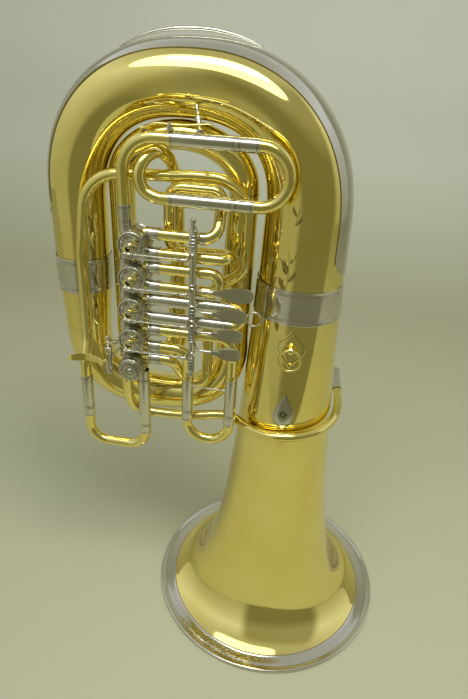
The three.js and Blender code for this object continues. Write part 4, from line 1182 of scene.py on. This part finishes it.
# a plain engraved rosette in place of any mark
for turn in circle(8):
    petal = []
    for angle in circle(12):
        along, across = 5.0 + 3.4 * math.cos(angle), 1.3 * math.sin(angle)
        petal.append((along * math.cos(turn) - across * math.sin(turn),
                      -4 + along * math.sin(turn) + across * math.cos(turn)))
    rows = [[place_badge(a, b, h) for a, b in petal] for h in (1.3, 1.75)]
    badge.solid(rows, ENGRAVING_AND_SLOT_SHADE)
badge.make()

# ---- floor, backdrop and light ----
PAPER, paper_tree, paper_shader = shader("paper", 0.0)
paper_place = node(paper_tree, "ShaderNodeTexCoord")
paper_split = node(paper_tree, "ShaderNodeSeparateXYZ")
paper_tree.links.new(paper_place.outputs["Object"], paper_split.inputs["Vector"])
# painted light and shade: the paper darkens to olive towards the floor and pales higher up the sweep, set by
# height alone
paper_tree.links.new(
    ramp(paper_tree, paper_split.outputs["Z"], (0.0, (0.47, 0.465, 0.31)), (0.08, (0.52, 0.52, 0.37)),
         (0.5, (0.74, 0.745, 0.64)), (1.0, (0.84, 0.84, 0.77))),
    paper_shader.inputs["Base Color"],
)
paper_shader.inputs["Roughness"].default_value = 0.9
paper_relief = node(paper_tree, "ShaderNodeBump", Strength=0.1, Distance=0.001)
paper_tree.links.new(noise(paper_tree, 300, detail=4), paper_relief.inputs["Height"])
paper_tree.links.new(paper_relief.outputs["Normal"], paper_shader.inputs["Normal"])


def sheet(name, line, half_width):
    """A sheet of paper: a line of [y, z] drawn out sideways."""
    data = bpy.data.meshes.new(name)
    data.from_pydata([(side * half_width, y, z) for y, z in line for side in (-1, 1)], [],
                     [(2 * k, 2 * k + 1, 2 * k + 3, 2 * k + 2) for k in range(len(line) - 1)])
    data.materials.append(PAPER)
    for polygon in data.polygons:
        polygon.use_smooth = True
    made = bpy.data.objects.new(name, data)
    bpy.context.scene.collection.objects.link(made)
    return made


FLOOR_EDGE, FLOOR_BACK, WALL_BEND = -0.8, 1.45, 0.75
upright = [(FLOOR_BACK + WALL_BEND * math.sin(t), WALL_BEND * (1 - math.cos(t)))
           for t in [math.radians(90 * k / 20) for k in range(21)]]
sheet("paper_sweep", [(FLOOR_EDGE, 0.0), *upright, (FLOOR_BACK + WALL_BEND, 3.6)], 4.0)
# The metal sees the darker room beyond the front edge of the sweep, not the floor there.
front_floor = sheet("paper_front", [(-4.0, 0.0), (FLOOR_EDGE, 0.0)], 4.0)
front_floor.visible_glossy = False


def softbox(name, at, aim, size, power, color):
    data = bpy.data.lights.new(name, "AREA")
    data.shape = "ELLIPSE"
    data.size, data.size_y = size
    data.energy = power
    data.color = color
    made = bpy.data.objects.new(name, data)
    made.location = Vector(at)
    made.rotation_mode = "QUATERNION"
    made.rotation_quaternion = (Vector(aim) - Vector(at)).to_track_quat("-Z", "Y")
    bpy.context.scene.collection.objects.link(made)
    return made


softbox("window", (-0.15, -0.62, 1.66), (-0.09, 0, 1.0), (1.25, 0.6), 3.4, (0.90, 0.95, 1.0))
softbox("window_strip", (-0.10, -0.54, 1.74), (-0.09, 0, 1.0), (0.75, 0.22), 4.6, (0.80, 0.88, 1.0))
# The main light is high on the right. It lights the paper, and the metal doesn't mirror it.
overhead = softbox("overhead", (0.8, -0.7, 2.4), (0, 0, 0.4), (1.0, 1.0), 27, (1.0, 0.99, 0.97))
overhead.visible_glossy = False

world = bpy.data.worlds.new("studio")
bpy.context.scene.world = world
world.use_nodes = True
tree = world.node_tree


def calculate(operation, *values):
    made = node(tree, "ShaderNodeMath", operation=operation)
    for socket, value in zip(made.inputs, values):
        if isinstance(value, (int, float)):
            socket.default_value = value
        else:
            tree.links.new(value, socket)
    return made.outputs[0]


def step_between(value, low, high):
    made = node(tree, "ShaderNodeMapRange", interpolation_type="SMOOTHSTEP")
    made.inputs["From Min"].default_value = low
    made.inputs["From Max"].default_value = high
    tree.links.new(value, made.inputs["Value"])
    return made.outputs["Result"]


def blend_colors(factor, a, b):
    made = node(tree, "ShaderNodeMix", data_type="RGBA")
    tree.links.new(factor, made.inputs["Factor"])
    for socket, value in ((made.inputs[6], a), (made.inputs[7], b)):
        if isinstance(value, tuple):
            socket.default_value = (*value, 1)
        else:
            tree.links.new(value, socket)
    return made.outputs[2]


# The room: pale at the sides and above, darker in front and to the right, where a viewer would stand.
direction = node(tree, "ShaderNodeTexCoord")
split = node(tree, "ShaderNodeSeparateXYZ")
tree.links.new(direction.outputs["Generated"], split.inputs["Vector"])
x, y, z = (split.outputs[name] for name in "XYZ")
flat = calculate("SQRT", calculate("ADD", calculate("MULTIPLY", x, x), calculate("MULTIPLY", y, y)))
toward = calculate("ADD", calculate("MULTIPLY", x, math.sin(math.radians(28))),
                   calculate("MULTIPLY", y, -math.cos(math.radians(28))))
ahead = calculate("DIVIDE", toward, calculate("MAXIMUM", flat, 0.001))
dark = calculate("MULTIPLY", step_between(ahead, 0.60, 0.78),
                 calculate("SUBTRACT", 1.0, step_between(z, 0.78, 0.93)))
height = calculate("ADD", calculate("MULTIPLY", z, 0.5), 0.5)
room = ramp(tree, height, (0.0, (0.30, 0.30, 0.19)), (0.42, (0.38, 0.385, 0.27)), (0.5, (0.43, 0.44, 0.34)),
            (0.62, (0.52, 0.54, 0.48)), (0.80, (0.74, 0.78, 0.80)), (0.97, (0.46, 0.47, 0.42)))
shade = ramp(tree, height, (0.0, (0.18, 0.18, 0.10)), (0.62, (0.20, 0.20, 0.12)),
             (0.75, (0.32, 0.33, 0.25)))
seen = blend_colors(dark, room, shade)
path = node(tree, "ShaderNodeLightPath")
final = blend_colors(path.outputs["Is Camera Ray"], seen, (0.45, 0.46, 0.39))
tree.links.new(final, tree.nodes["Background"].inputs["Color"])

bpy.context.scene.view_settings.view_transform = "Standard"

bpy.context.view_layer.update()
import json
